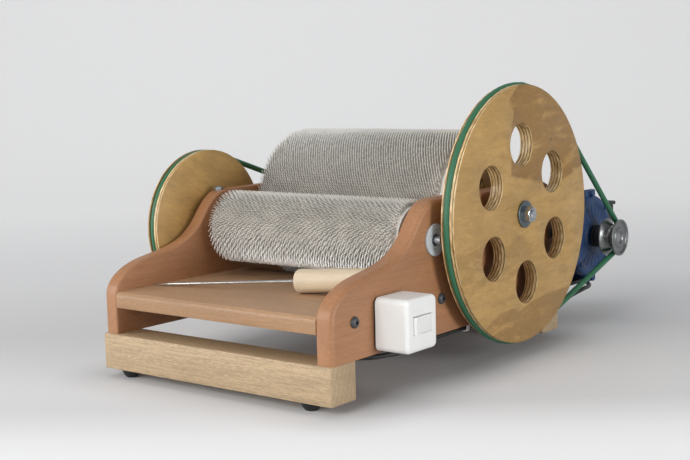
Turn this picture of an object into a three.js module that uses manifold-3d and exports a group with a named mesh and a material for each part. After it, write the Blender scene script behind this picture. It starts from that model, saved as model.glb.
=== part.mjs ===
// Motorised drum carder: two toothed rollers between wooden panels, turned by round belts from a motor.
// Millimetres, +Z up. X runs across the machine and Y runs from the feed shelf back to the motor.
import * as THREE from "three";
import { mergeVertices } from "three/addons/utils/BufferGeometryUtils.js";
import Module from "manifold-3d";

const wasm = await Module();
wasm.setup();

// Fits
const seat_gap = 0.15; // round pieces held in one another
const running_gap = 0.08; // shafts in their bearings
const lead_gap = 0.3; // round the motor lead
const clear_gap = 0.4; // between pieces that move past each other
const overrun = 5; // how far a cutting tool reaches past a face
const weld_gap = 0.0001;

// Base
const frame_width = 368;
const frame_depth = 514;
const beam_side = 45;
const beam_chamfer = 1.5;
const foot_height = 12;
const foot_radius = 12.5;
const foot_taper = 4.5;
const foot_screw_radius = 4;
const foot_screw_depth = 7;
const foot_left_inset = 28;
const foot_right_inset = 44;
const foot_setback = 19;

// Side panels
const panel_thickness = 22;
const panel_inset = 3;
const panel_height = 167;
const panel_edge_round = 5;
const panel_rear_round = 40;
const toe_height = 48.4;
const toe_rise = 20.8;
const shoulder_reach = 52.4;
const shoulder_height = 89;
const shoulder_slope_share = 0.2;
const shoulder_lead_in_share = 0.498;
const shoulder_lead_out_share = 0.406;
const flank_ahead_of_roller = 42.6;
const flank_height = 131.4;
const flank_slope_share = 1.25;
const flank_lead_in_share = 0.2546;
const flank_lead_out_share = 0.289;
const crest_past_roller = 11.7;
const crest_lead_in_share = 0.503;

// Feed shelf and rear stretcher
const shelf_thickness = 20;
const shelf_past_roller = 40.4;
const shelf_nose_round = 6;
const shelf_bolt_setback = 41;
const shelf_bolt_rear_setback = 28.5;
const stretcher_thickness = 20;
const stretcher_height = 60;
const stretcher_bolt_height = 93;
const stretcher_inset = 8.5;
const stretcher_gap = 6.6;

// Button-head bolts
const bolt_head_radius = 6.8;
const bolt_head_height = 4.4;
const bolt_crown_share = 0.6;
const bolt_shank_radius = 4;
const bolt_length = 50;
const bolt_socket_radius = 2.6;
const bolt_socket_depth = 2.2;

// Main drum
const drum_below_crest = 33.1;
const drum_side_gap = 9;
const drum_radius = 97;
const drum_shell_wall = 13;
const drum_end_thickness = 16;
const drum_end_recess = 3;
const drum_end_hole_radius = 6;
const drum_end_hole_circle = 38;
const drum_end_holes = 3;
const drum_axle_radius = 6;
const drum_collar_radius = 11;

// Licker-in, the small toothed roller
const lickerin_drop = 16.6;
const lickerin_left_gap = 13;
const lickerin_right_gap = 4;
const lickerin_radius = 37;
const lickerin_axle_radius = 5;
const lickerin_collar_radius = 9;
const lickerin_stub = 7.5;

// Card clothing, the toothed cover of both rollers
const nip_gap = 5.65;
const feed_gap = 15.3;
const cloth_thickness = 3;
const pin_height = 8.5;
const pin_root_radius = 1.1;
const pin_tip_share = 0.35;
const pin_sink = 1;
const drum_pin_lean = -2.6;
const lickerin_pin_lean = 2.6;
const pin_margin = 9;
const drum_pin_rows = 18;
const drum_pins_in_row = 11;
const lickerin_pin_rows = 9;
const lickerin_pins_in_row = 12;

// Flanged bearings
const bearing_flange_radius = 19.6;
const bearing_flange_thickness = 3;
const bearing_sleeve_radius = 13;
const bearing_mouth_step = 2.7;
const bearing_mouth_depth = 6;
const clamp_flats = 13;
const clamp_head_height = 5.5;
const clamp_shank_radius = 4;
const clamp_shank_length = 24;
const clamp_spot_depth = 2.5;
const clamp_spot_radius = 8.6;

// Plywood belt wheels
const wheel_thickness = 18;
const groove_from_back = 7.5;
const drive_wheel_radius = 166.5;
const drive_wheel_standoff = 10;
const drive_belt_depth = 1;
const wheel_hole_radius = 28.3;
const wheel_hole_circle = 89.6;
const wheel_holes = 6;
const wheel_hole_turn = 3.5;
const lickerin_wheel_radius = 102.5;
const lickerin_wheel_standoff = 2;
const lickerin_belt_depth = 3.7;
const small_pulley_radius = 36.5;
const small_pulley_width = 16;

// Round belts
const belt_radius = 4;
const groove_gap = 0.5;

// Hub nuts and washer
const washer_radius = 17.6;
const washer_thickness = 3;
const hub_nut_flats = 19;
const hub_nut_height = 10;
const small_nut_flats = 17;
const small_nut_height = 8;
const thread_end = 2;
const nut_chamfer = 1;

// Motor
const motor_setback = 132;
const motor_inset = 25.5;
const shaft_height = 71;
const motor_plate_thickness = 5;
const motor_plate_margin = 32;
const motor_plate_overhang = 196;
const motor_plate_end_margin = 2;
const motor_plate_rebate = 35;
const motor_plate_corner = 10;
const body_radius = 60;
const body_length = 138;
const fin_depth = 4;
const fin_count = 24;
const fin_width_share = 0.45;
const fin_root_share = 1.5;
const shield_radius = 60.5;
const shield_rim = 10;
const shield_dish = 4;
const shield_boss_radius = 20;
const shield_boss_length = 2;
const shield_rib_count = 8;
const shield_rib_width = 3;
const shield_rib_height = 3;
const shield_rib_top_share = 0.84;
const shield_lug_width = 30;
const shield_lug_reach = 69;
const shield_lug_length = 9;
const fan_cover_length = 62;
const fan_cover_radius = 59;
const fan_cover_round = 14;
const fan_slot_count = 10;
const fan_slot_width = 5;
const fan_slot_depth = 3;
const fan_slot_length = 28;
const motor_foot_length = 100;
const motor_foot_outer = 62;
const motor_foot_inner = 30;
const motor_foot_flange = 9;
const motor_foot_web = 14;
const motor_foot_bolt_inset = 12;
const motor_bolt_flats = 10;
const motor_bolt_head = 4;
const motor_bolt_radius = 3;
const terminal_width = 90;
const terminal_height = 76;
const terminal_depth = 43.5;
const terminal_round = 8;
const terminal_lid_thickness = 7;
const terminal_lid_lip = 2;
const terminal_rise = 3;
const terminal_end_setback = 2;
const terminal_sink = 6;

// Motor shaft and pulley
const shaft_radius = 7;
const shaft_in_body = 60;
const shaft_end_setback = 2.5;
const seal_radius = 16.5;
const seal_thickness = 3;
const pulley_radius = 26.8;
const pulley_half_width = 11.5;
const pulley_rim = 2.2;
const pulley_belt_radius = 22.5;
const pulley_root_radius = 17;
const pulley_face_recess = 2;
const pulley_hub_radius = 16;
const pulley_hub_length = 13;

// Switch
const switch_place_share = 0.2792; // of the free room between the front bolt and the drive wheel
const switch_rise = 4;
const switch_width = 60;
const switch_height = 62;
const switch_depth = 47;
const switch_corner = 7;
const switch_edge_round = 5;
const switch_plate_thickness = 2.5;
const switch_plate_inset = 1.2;
const rocker_radius = 17.6;
const rocker_height = 20;
const rocker_pivot_depth = 2;
const rocker_underside = 3;
const rocker_tilt_degrees = 11.5;
const rocker_well_depth = 8.5;

// Motor lead and its clips
const cable_radius = 3.1;
const cable_hole_radius = 5;
const cable_hole_inset = 30.9;
const clip_wall = 2.2;
const clip_width = 6;
const clip_tab = 7;
const lead_inset = 4.5;
const clip_front_reach = 169;
const clip_rear_setback = 144;

// Doffing awl lying on the shelf
const awl_tip_gap = 4;
const awl_end_gap = 23.1;
const awl_tip_share = 0.4056; // of the tray in front of the licker-in
const awl_end_share = 0.886;
const awl_rod_radius = 2;
const awl_rod_in_handle = 30;
const awl_point_length = 12;
const awl_handle_radius = 15;
const awl_handle_length = 100;
const awl_handle_round = 6;
const awl_handle_taper = 1.2;

// Facets around one turn
const drum_sides = 36;
const wheel_sides = 48;
const pulley_sides = 22;
const shaft_sides = 20;
const bolt_sides = 10;
const nut_sides = 12;
const hole_sides = 16;
const belt_sides = 8;
const drive_wheel_wrap_steps = 32;
const motor_pulley_wrap_steps = 6;
const lickerin_wheel_wrap_steps = 24;
const small_pulley_wrap_steps = 8;
const cable_sides = 8;
const cable_steps = 47;

// Places worked out from the sizes above
const panel_outer = frame_width / 2;
const panel_inner = panel_outer - panel_thickness;
const panel_front = panel_inset;
const panel_back = frame_depth - panel_inset;
const beam_top = foot_height + beam_side;
const panel_top = beam_top + panel_height;
const drum_half = panel_inner - drum_side_gap;
const drum_tip_radius = drum_radius + cloth_thickness + pin_height;
const stretcher_back = panel_back - stretcher_inset;
const stretcher_front = stretcher_back - stretcher_thickness;
const drum_y = stretcher_front - stretcher_gap - drum_tip_radius;
const drum_z = panel_top - drum_below_crest;
const lickerin_left = lickerin_left_gap - panel_inner;
const lickerin_right = panel_inner - lickerin_right_gap;
const lickerin_tip_radius = lickerin_radius + cloth_thickness + pin_height;
const axle_distance = drum_tip_radius + lickerin_tip_radius + nip_gap;
const lickerin_y = drum_y - Math.sqrt(axle_distance ** 2 - lickerin_drop ** 2);
const lickerin_z = drum_z - lickerin_drop;
const shelf_top = lickerin_z - lickerin_tip_radius - feed_gap;
const shelf_back = lickerin_y + shelf_past_roller;
const bearing_face = panel_outer + bearing_flange_thickness;
const drive_wheel_back = bearing_face + drive_wheel_standoff;
const drive_wheel_face = drive_wheel_back + wheel_thickness;
const drive_belt_x = drive_wheel_back + groove_from_back;
const drive_belt_seat = drive_wheel_radius - drive_belt_depth;
const lickerin_wheel_face = -bearing_face - lickerin_wheel_standoff;
const lickerin_wheel_back = lickerin_wheel_face - wheel_thickness;
const lickerin_belt_x = lickerin_wheel_back + groove_from_back;
const lickerin_belt_seat = lickerin_wheel_radius - lickerin_belt_depth;
const small_pulley_seat = small_pulley_radius - lickerin_belt_depth;
const groove_radius = belt_radius + groove_gap;
const motor_y = frame_depth + motor_setback;
const motor_z = beam_top + shaft_height;
const body_right = panel_outer - motor_inset;
const body_left = body_right - body_length;
const motor_foot_left = body_left + (body_length - motor_foot_length) / 2;
const motor_foot_right = motor_foot_left + motor_foot_length;
const motor_plate_left = body_left - motor_plate_margin;
const motor_plate_right = motor_foot_right + motor_plate_end_margin;
const shield_face = body_right + shield_rim + shield_dish;
const bolt_y_front = panel_front + shelf_bolt_setback;
const bolt_y_middle = shelf_back - shelf_bolt_rear_setback;
const bolt_y_rear = (stretcher_front + stretcher_back) / 2;
const shelf_bolt_z = shelf_top - shelf_thickness / 2;
const stretcher_bolt_z = beam_top + stretcher_bolt_height;
const switch_face = panel_outer + switch_depth;
const switch_bottom = beam_top + switch_rise;
const switch_top = switch_bottom + switch_height;
const switch_z = (switch_bottom + switch_top) / 2;
const wheel_front = drum_y - Math.sqrt(drive_wheel_radius ** 2 - (drum_z - switch_top) ** 2);
const switch_room_start = bolt_y_front + bolt_head_radius;
const switch_room = wheel_front - switch_room_start - switch_width;
const switch_y = switch_room_start + switch_width / 2 + switch_room * switch_place_share;
const cable_z = beam_top - cable_radius - lead_gap;
const lead_run_x = panel_outer - lead_inset;

// Shape helpers
const along_x = new THREE.Matrix4().makeBasis(
  new THREE.Vector3(0, 1, 0),
  new THREE.Vector3(0, 0, 1),
  new THREE.Vector3(1, 0, 0),
);

function solid(geometry) {
  const bare = new THREE.BufferGeometry();
  bare.setAttribute("position", geometry.getAttribute("position"));
  bare.setIndex(geometry.getIndex());
  const merged = mergeVertices(bare, weld_gap);
  const corners = new Uint32Array(merged.getIndex().array);
  const surface = { numProp: 3, vertProperties: merged.getAttribute("position").array, triVerts: corners };
  const made = new wasm.Manifold(new wasm.Mesh(surface));
  if (made.volume() > 0) return made;
  for (let i = 0; i < corners.length; i += 3) corners.subarray(i, i + 2).reverse();
  return new wasm.Manifold(new wasm.Mesh(surface));
}

function union(solids) {
  return solids.reduce((sum, next) => sum.add(next));
}

function cut(body, tools) {
  return tools.reduce((rest, tool) => rest.subtract(tool), body);
}

function block(x0, x1, y0, y1, z0, z1) {
  const box = new THREE.BoxGeometry(x1 - x0, y1 - y0, z1 - z0);
  return solid(box.translate((x0 + x1) / 2, (y0 + y1) / 2, (z0 + z1) / 2));
}

function prismX(shape, x0, x1, curveSegments = 6) {
  const body = new THREE.ExtrudeGeometry(shape, { depth: x1 - x0, bevelEnabled: false, curveSegments });
  return solid(body.applyMatrix4(along_x).translate(x0, 0, 0));
}

function roundedPrismX(shape, x0, x1, edge, curveSegments, bevelSegments) {
  const body = new THREE.ExtrudeGeometry(shape, {
    depth: x1 - x0 - 2 * edge,
    bevelThickness: edge,
    bevelSize: edge,
    bevelOffset: -edge,
    bevelSegments,
    curveSegments,
  });
  return solid(body.applyMatrix4(along_x).translate(x0 + edge, 0, 0));
}

// Turns a profile of [place along the axis, radius] pairs into a solid about +Z
function turnedZ(profile, sides) {
  const points = profile.map(([along, radius]) => new THREE.Vector2(radius, along));
  return solid(new THREE.LatheGeometry(points, sides).rotateX(Math.PI / 2));
}

function turnedX(profile, y, z, sides) {
  const points = profile.map(([along, radius]) => new THREE.Vector2(radius, along));
  const body = new THREE.LatheGeometry(points, sides).rotateZ(-Math.PI / 2);
  return solid(body.translate(0, y, z));
}

function rodX(radius, x0, x1, y, z, sides) {
  return turnedX([[x0, 0], [x0, radius], [x1, radius], [x1, 0]], y, z, sides);
}

function tubeX(inner, outer, x0, x1, y, z, sides) {
  return turnedX([[x0, inner], [x0, outer], [x1, outer], [x1, inner], [x0, inner]], y, z, sides);
}

function rodZ(radius, x, y, z0, z1, sides) {
  return turnedZ([[z0, 0], [z0, radius], [z1, radius], [z1, 0]], sides).translate([x, y, 0]);
}

function rodY(radius, x, z, y0, y1, sides) {
  return turnedZ([[0, 0], [0, radius], [y1 - y0, radius], [y1 - y0, 0]], sides)
    .rotate([-90, 0, 0])
    .translate([x, y0, z]);
}

function mirrored(body) {
  return body.mirror([1, 0, 0]);
}

function roundedRectangle(y0, y1, z0, z1, corner) {
  const shape = new THREE.Shape();
  shape.moveTo(y0 + corner, z0);
  shape.lineTo(y1 - corner, z0);
  shape.absarc(y1 - corner, z0 + corner, corner, -Math.PI / 2, 0);
  shape.lineTo(y1, z1 - corner);
  shape.absarc(y1 - corner, z1 - corner, corner, 0, Math.PI / 2);
  shape.lineTo(y0 + corner, z1);
  shape.absarc(y0 + corner, z1 - corner, corner, Math.PI / 2, Math.PI);
  shape.lineTo(y0, z0 + corner);
  shape.absarc(y0 + corner, z0 + corner, corner, Math.PI, 1.5 * Math.PI);
  return shape;
}

function roundedBoxY(x0, x1, z0, z1, y0, y1, corner) {
  const outline = roundedRectangle(-x1, -x0, z0, z1, corner);
  return prismX(outline, y0, y1, 2).rotate([0, 0, 90]);
}

function polygon(points) {
  return new THREE.Shape(points.map((point) => new THREE.Vector2(...point)));
}

// Materials
function paint(color, roughness, metalness = 0) {
  return new THREE.MeshStandardMaterial({ color, roughness, metalness });
}

const cherry = paint(0xb0805f, 0.55);
const oak = paint(0xc8ac87, 0.6);
const shelf_wood = paint(0xb08c68, 0.55);
const plywood = paint(0xb29462, 0.5);
const birch = paint(0xe1cdaa, 0.55);
const rubber = paint(0x151515, 0.9);
const black_steel = paint(0x26272a, 0.45, 0.8);
const bright_steel = paint(0xc3c7ca, 0.3, 0.95);
const card_wire = paint(0xaaa8a0, 0.45, 0.6);
const white_plastic = paint(0xe8e8e6, 0.4);
const grey_plastic = paint(0xbec3c6, 0.45);
const black_plastic = paint(0x1b1b1c, 0.55);
const blue_paint = paint(0x284673, 0.4, 0.2);
const belt_green = paint(0x46805f, 0.5);

const carder = new THREE.Group();
carder.name = "drum_carder";

function add(name, body, material) {
  const surface = body.getMesh();
  const geometry = new THREE.BufferGeometry();
  geometry.setAttribute("position", new THREE.BufferAttribute(surface.vertProperties, 3));
  geometry.setIndex(new THREE.BufferAttribute(surface.triVerts, 1));
  const mesh = new THREE.Mesh(geometry, material);
  mesh.name = name;
  carder.add(mesh);
}

// Base: two beams on rubber feet
function beam(y0) {
  const y1 = y0 + beam_side;
  const outline = polygon([
    [y0 + beam_chamfer, foot_height],
    [y1 - beam_chamfer, foot_height],
    [y1, foot_height + beam_chamfer],
    [y1, beam_top],
    [y0, beam_top],
    [y0, foot_height + beam_chamfer],
  ]);
  return prismX(outline, -panel_outer, panel_outer);
}

const rear_beam_front = frame_depth - beam_side;
const rebate_bottom = beam_top - motor_plate_thickness;
const plate_front = frame_depth - motor_plate_rebate;
const cable_hole_x = panel_outer - cable_hole_inset;
const cable_hole_z = foot_height + beam_side / 2;

add("front_beam", beam(0), oak);
add(
  "rear_beam",
  cut(beam(rear_beam_front), [
    block(
      motor_plate_left,
      motor_plate_right,
      plate_front,
      frame_depth + overrun,
      rebate_bottom,
      beam_top + overrun,
    ),
    rodY(
      cable_hole_radius,
      cable_hole_x,
      cable_hole_z,
      rear_beam_front - overrun,
      frame_depth + overrun,
      bolt_sides,
    ),
  ]),
  oak,
);

const foot = turnedZ(
  [
    [foot_screw_depth, 0],
    [foot_screw_depth, foot_screw_radius],
    [0, foot_screw_radius],
    [0, foot_radius - foot_taper],
    [foot_height, foot_radius],
    [foot_height, 0],
  ],
  nut_sides,
);
const foot_left = -panel_outer + foot_left_inset;
const foot_right = panel_outer - foot_right_inset;
for (const [across, x] of [["left", foot_left], ["right", foot_right]]) {
  for (const [along, y] of [["front", foot_setback], ["rear", frame_depth - foot_setback]]) {
    add(`foot_${along}_${across}`, foot.translate([x, y, 0]), rubber);
  }
}

// Side panels with their rounded toe, sloping shoulder and flat crest
function panelOutline() {
  const shoulder_y = panel_front + shoulder_reach;
  const shoulder_z = beam_top + shoulder_height;
  const flank_y = lickerin_y - flank_ahead_of_roller;
  const flank_z = beam_top + flank_height;
  const crest_y = lickerin_y + crest_past_roller;
  const toe_z = beam_top + toe_height;
  const shoulder_lead_in = shoulder_reach * shoulder_lead_in_share;
  const shoulder_lead_out = (flank_y - shoulder_y) * shoulder_lead_out_share;
  const flank_lead_in = (flank_y - shoulder_y) * flank_lead_in_share;
  const flank_lead_out = (crest_y - flank_y) * flank_lead_out_share;
  const crest_lead_in = (crest_y - flank_y) * crest_lead_in_share;
  const outline = new THREE.Shape();
  outline.moveTo(panel_front, beam_top - overrun - panel_edge_round);
  outline.lineTo(panel_front, toe_z);
  outline.bezierCurveTo(
    panel_front,
    toe_z + toe_rise,
    shoulder_y - shoulder_lead_in,
    shoulder_z - shoulder_lead_in * shoulder_slope_share,
    shoulder_y,
    shoulder_z,
  );
  outline.bezierCurveTo(
    shoulder_y + shoulder_lead_out,
    shoulder_z + shoulder_lead_out * shoulder_slope_share,
    flank_y - flank_lead_in,
    flank_z - flank_lead_in * flank_slope_share,
    flank_y,
    flank_z,
  );
  outline.bezierCurveTo(
    flank_y + flank_lead_out,
    flank_z + flank_lead_out * flank_slope_share,
    crest_y - crest_lead_in,
    panel_top,
    crest_y,
    panel_top,
  );
  const round_y = panel_back - panel_rear_round;
  outline.lineTo(round_y, panel_top);
  outline.absarc(round_y, panel_top - panel_rear_round, panel_rear_round, Math.PI / 2, 0, true);
  outline.lineTo(panel_back, beam_top - overrun - panel_edge_round);
  return outline;
}

function boltHole(y, z) {
  const radius = bolt_shank_radius + seat_gap;
  return rodX(radius, panel_inner - bolt_length, panel_outer + overrun, y, z, bolt_sides);
}

const panel_bolts = [
  ["front", bolt_y_front, shelf_bolt_z],
  ["middle", bolt_y_middle, shelf_bolt_z],
  ["rear", bolt_y_rear, stretcher_bolt_z],
];
const bolt_holes = panel_bolts.map(([, y, z]) => boltHole(y, z));
const sleeve_hole_radius = bearing_sleeve_radius + seat_gap;
const bearing_places = [[drum_y, drum_z], [lickerin_y, lickerin_z]];
const sleeve_holes = bearing_places.map(([y, z]) =>
  rodX(sleeve_hole_radius, panel_inner - overrun, panel_outer + overrun, y, z, shaft_sides),
);
const below_panel = block(
  panel_inner - overrun,
  panel_outer + overrun,
  -overrun,
  frame_depth + overrun,
  0,
  beam_top,
);
const panel = cut(roundedPrismX(panelOutline(), panel_inner, panel_outer, panel_edge_round, 5, 2), [
  below_panel,
  ...bolt_holes,
  ...sleeve_holes,
]);

const panel_middle = (panel_inner + panel_outer) / 2;
const spot_z = panel_top - clamp_spot_depth;
const clamp_hole_bottom = spot_z - clamp_shank_length - seat_gap;
const clamp_tools = [
  rodZ(clamp_spot_radius, -panel_middle, lickerin_y, spot_z, panel_top + overrun, bolt_sides),
  rodZ(clamp_shank_radius + seat_gap, -panel_middle, lickerin_y, clamp_hole_bottom, panel_top, bolt_sides),
];
add("side_panel_right", panel, cherry);
add("side_panel_left", cut(mirrored(panel), clamp_tools), cherry);

// Feed shelf and rear stretcher, bolted between the panels
const both_bolt_holes = [...bolt_holes, ...bolt_holes.map(mirrored)];
const shelf_outline = new THREE.Shape();
shelf_outline.moveTo(panel_front, shelf_top - shelf_thickness);
shelf_outline.lineTo(shelf_back, shelf_top - shelf_thickness);
shelf_outline.lineTo(shelf_back, shelf_top);
shelf_outline.lineTo(panel_front + shelf_nose_round, shelf_top);
shelf_outline.absarc(
  panel_front + shelf_nose_round,
  shelf_top - shelf_nose_round,
  shelf_nose_round,
  Math.PI / 2,
  Math.PI,
);
add("feed_shelf", cut(prismX(shelf_outline, -panel_inner, panel_inner), both_bolt_holes), shelf_wood);

const stretcher = block(
  -panel_inner,
  panel_inner,
  stretcher_front,
  stretcher_back,
  stretcher_bolt_z - stretcher_height / 2,
  stretcher_bolt_z + stretcher_height / 2,
);
add("rear_stretcher", cut(stretcher, both_bolt_holes), cherry);

// Button-head bolts through the panels
function buttonBolt(y, z) {
  const tip = panel_outer - bolt_length;
  const crown_start = bolt_head_height * (1 - bolt_crown_share);
  const floor = panel_outer + bolt_head_height - bolt_socket_depth;
  const turned = turnedX(
    [
      [tip, 0],
      [tip, bolt_shank_radius],
      [panel_outer, bolt_shank_radius],
      [panel_outer, bolt_head_radius],
      [panel_outer + crown_start, bolt_head_radius],
      [panel_outer + bolt_head_height, bolt_head_radius * bolt_crown_share],
      [panel_outer + bolt_head_height, 0],
    ],
    y,
    z,
    bolt_sides,
  );
  return turned.subtract(rodX(bolt_socket_radius, floor, panel_outer + bolt_head_height + overrun, y, z, 6));
}

for (const [place, y, z] of panel_bolts) {
  const bolt = buttonBolt(y, z);
  add(`panel_bolt_${place}_right`, bolt, black_steel);
  add(`panel_bolt_${place}_left`, mirrored(bolt), black_steel);
}

// Flanged bearings in the panels
function bearing(y, z, shaft) {
  const bore = shaft + running_gap;
  const mouth_radius = shaft + bearing_mouth_step;
  const mouth = bearing_face - bearing_mouth_depth;
  return turnedX(
    [
      [panel_inner, bore],
      [panel_inner, bearing_sleeve_radius],
      [panel_outer, bearing_sleeve_radius],
      [panel_outer, bearing_flange_radius],
      [bearing_face, bearing_flange_radius],
      [bearing_face, mouth_radius],
      [mouth, mouth_radius],
      [mouth, bore],
      [panel_inner, bore],
    ],
    y,
    z,
    shaft_sides,
  );
}

const drum_bearing = bearing(drum_y, drum_z, drum_axle_radius);
const lickerin_bearing = bearing(lickerin_y, lickerin_z, lickerin_axle_radius);
add("drum_bearing_right", drum_bearing, grey_plastic);
add("drum_bearing_left", mirrored(drum_bearing), grey_plastic);
add("lickerin_bearing_right", lickerin_bearing, grey_plastic);
add("lickerin_bearing_left", mirrored(lickerin_bearing), grey_plastic);

function hexRadius(flats) {
  return flats / 2 / Math.cos(Math.PI / 6);
}

function hexHead(flats, z0, z1) {
  const round = turnedZ(
    [
      [z0, 0],
      [z0, hexRadius(flats)],
      [z1 - nut_chamfer / 2, hexRadius(flats)],
      [z1, flats / 2 - nut_chamfer / 2],
      [z1, 0],
    ],
    nut_sides,
  );
  return round.intersect(rodZ(hexRadius(flats), 0, 0, z0, z1, 6));
}

const clamp_screw = union([
  hexHead(clamp_flats, spot_z, spot_z + clamp_head_height),
  rodZ(clamp_shank_radius, 0, 0, spot_z - clamp_shank_length, spot_z + clamp_head_height / 2, bolt_sides),
]);
add("bearing_clamp_screw", clamp_screw.translate([-panel_middle, lickerin_y, 0]), bright_steel);

// Card clothing: a backing tube with staggered leaning pins fused to it
function pin(row_angle, x, root_radius, lean) {
  const points = [];
  for (const [height, shift, size] of [[-pin_sink, 0, 1], [pin_height, lean, pin_tip_share]]) {
    for (let corner = 0; corner < 3; corner += 1) {
      const turn = (corner * 2 * Math.PI) / 3;
      const radial = root_radius + height;
      const around = shift + size * pin_root_radius * Math.cos(turn);
      const along = x + size * pin_root_radius * Math.sin(turn);
      const y = radial * Math.cos(row_angle) - around * Math.sin(row_angle);
      const z = radial * Math.sin(row_angle) + around * Math.cos(row_angle);
      points.push(along, y, z);
    }
  }
  return points;
}

const pin_faces = [0, 2, 1, 3, 4, 5, 0, 1, 4, 0, 4, 3, 1, 2, 5, 1, 5, 4, 2, 0, 3, 2, 3, 5];

function cardClothing(inner, left, right, y, z, rows, pins_in_row, lean) {
  const outer = inner + cloth_thickness;
  const half = (right - left) / 2;
  const backing = tubeX(inner + seat_gap, outer, -half, half, 0, 0, drum_sides);
  const run = 2 * (half - pin_margin);
  const pitch = run / pins_in_row;
  const positions = [];
  const faces = [];
  for (let row = 0; row < rows; row += 1) {
    const angle = (2 * Math.PI * row) / rows + Math.PI / drum_sides;
    const stagger = row % 2 ? pitch / 2 : 0;
    for (let place = 0; place < pins_in_row; place += 1) {
      const first = positions.length / 3;
      positions.push(...pin(angle, -run / 2 + pitch / 4 + stagger + place * pitch, outer, lean));
      faces.push(...pin_faces.map((corner) => corner + first));
    }
  }
  const pins = new THREE.BufferGeometry();
  pins.setAttribute("position", new THREE.Float32BufferAttribute(positions, 3));
  pins.setIndex(faces);
  return backing.add(solid(pins)).translate([(left + right) / 2, y, z]);
}

// Main drum: shell, end discs, clothing and axle
const drum_end_face = drum_half - drum_end_recess;
const shell_inner = drum_radius - drum_shell_wall;
add("drum_shell", tubeX(shell_inner, drum_radius, -drum_half, drum_half, drum_y, drum_z, drum_sides), birch);

const drum_end_back = drum_end_face - drum_end_thickness;
const end_holes = Array.from({ length: drum_end_holes }, (_, index) => {
  const turn = (2 * Math.PI * index) / drum_end_holes + Math.PI / 2;
  const y = drum_y + drum_end_hole_circle * Math.cos(turn);
  const z = drum_z + drum_end_hole_circle * Math.sin(turn);
  return rodX(drum_end_hole_radius, drum_end_back - overrun, drum_half, y, z, bolt_sides);
});
const drum_end = cut(
  tubeX(
    drum_axle_radius + seat_gap,
    shell_inner - seat_gap,
    drum_end_back,
    drum_end_face,
    drum_y,
    drum_z,
    drum_sides,
  ),
  end_holes,
);
add("drum_end_right", drum_end, plywood);
add("drum_end_left", mirrored(drum_end), plywood);
add(
  "drum_card_cloth",
  cardClothing(
    drum_radius,
    -drum_half,
    drum_half,
    drum_y,
    drum_z,
    drum_pin_rows,
    drum_pins_in_row,
    drum_pin_lean,
  ),
  card_wire,
);

const washer_face = drive_wheel_face + washer_thickness;
const hub_nut_face = washer_face + hub_nut_height;
const drum_axle_right = hub_nut_face + thread_end;
const small_pulley_back = lickerin_belt_x - small_pulley_width / 2;
const small_pulley_face = lickerin_belt_x + small_pulley_width / 2;
const drum_nut_face = small_pulley_back - small_nut_height;
const drum_axle_left = drum_nut_face - thread_end;
const collar_end = panel_inner - clear_gap;
const shoulder_start = bearing_face + clear_gap;
add(
  "drum_axle",
  turnedX(
    [
      [drum_axle_left, 0],
      [drum_axle_left, drum_axle_radius],
      [small_pulley_face, drum_axle_radius],
      [small_pulley_face, drum_collar_radius],
      [-shoulder_start, drum_collar_radius],
      [-shoulder_start, drum_axle_radius],
      [shoulder_start, drum_axle_radius],
      [shoulder_start, drum_collar_radius],
      [drive_wheel_back, drum_collar_radius],
      [drive_wheel_back, drum_axle_radius],
      [drum_axle_right, drum_axle_radius],
      [drum_axle_right, 0],
    ],
    drum_y,
    drum_z,
    shaft_sides,
  ),
  bright_steel,
);

// Grooved wheels: the belt lies in a round-bottomed groove near the inner or outer face
function groovedWheel(x0, x1, groove_x, radius, seat, bore, y, z, sides) {
  const profile = [[x0, bore], [x0, radius], [groove_x - groove_radius, radius]];
  const arc_steps = belt_sides / 2;
  for (let step = 0; step <= arc_steps; step += 1) {
    const turn = Math.PI + (Math.PI * step) / arc_steps;
    profile.push([groove_x + groove_radius * Math.cos(turn), seat + groove_radius * Math.sin(turn)]);
  }
  profile.push([groove_x + groove_radius, radius], [x1, radius], [x1, bore], [x0, bore]);
  return turnedX(profile, y, z, sides);
}

const wheel_bore = drum_axle_radius + seat_gap;
const wheel_hole_tools = Array.from({ length: wheel_holes }, (_, index) => {
  const turn = THREE.MathUtils.degToRad(90 + wheel_hole_turn) - (2 * Math.PI * index) / wheel_holes;
  const y = drum_y + wheel_hole_circle * Math.cos(turn);
  const z = drum_z + wheel_hole_circle * Math.sin(turn);
  return rodX(wheel_hole_radius, drive_wheel_back - overrun, drive_wheel_face + overrun, y, z, hole_sides);
});
const drive_wheel = groovedWheel(
  drive_wheel_back,
  drive_wheel_face,
  drive_belt_x,
  drive_wheel_radius,
  drive_belt_seat,
  wheel_bore,
  drum_y,
  drum_z,
  wheel_sides,
);
add("drive_wheel", cut(drive_wheel, wheel_hole_tools), plywood);
add(
  "drive_wheel_washer",
  tubeX(wheel_bore, washer_radius, drive_wheel_face, washer_face, drum_y, drum_z, shaft_sides),
  bright_steel,
);

function hexNut(flats, bore, height) {
  return hexHead(flats, 0, height).subtract(rodZ(bore, 0, 0, -overrun, height + overrun, shaft_sides));
}

const hub_nut = hexNut(hub_nut_flats, wheel_bore, hub_nut_height).rotate([0, 90, 0]);
add("drive_wheel_nut", hub_nut.translate([washer_face, drum_y, drum_z]), bright_steel);
add(
  "lickerin_drive_pulley",
  groovedWheel(
    small_pulley_back,
    small_pulley_face,
    lickerin_belt_x,
    small_pulley_radius,
    small_pulley_seat,
    wheel_bore,
    drum_y,
    drum_z,
    pulley_sides,
  ),
  plywood,
);
const drum_left_nut = hexNut(small_nut_flats, wheel_bore, small_nut_height).rotate([0, -90, 0]);
add("drum_left_nut", drum_left_nut.translate([small_pulley_back, drum_y, drum_z]), bright_steel);

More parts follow.
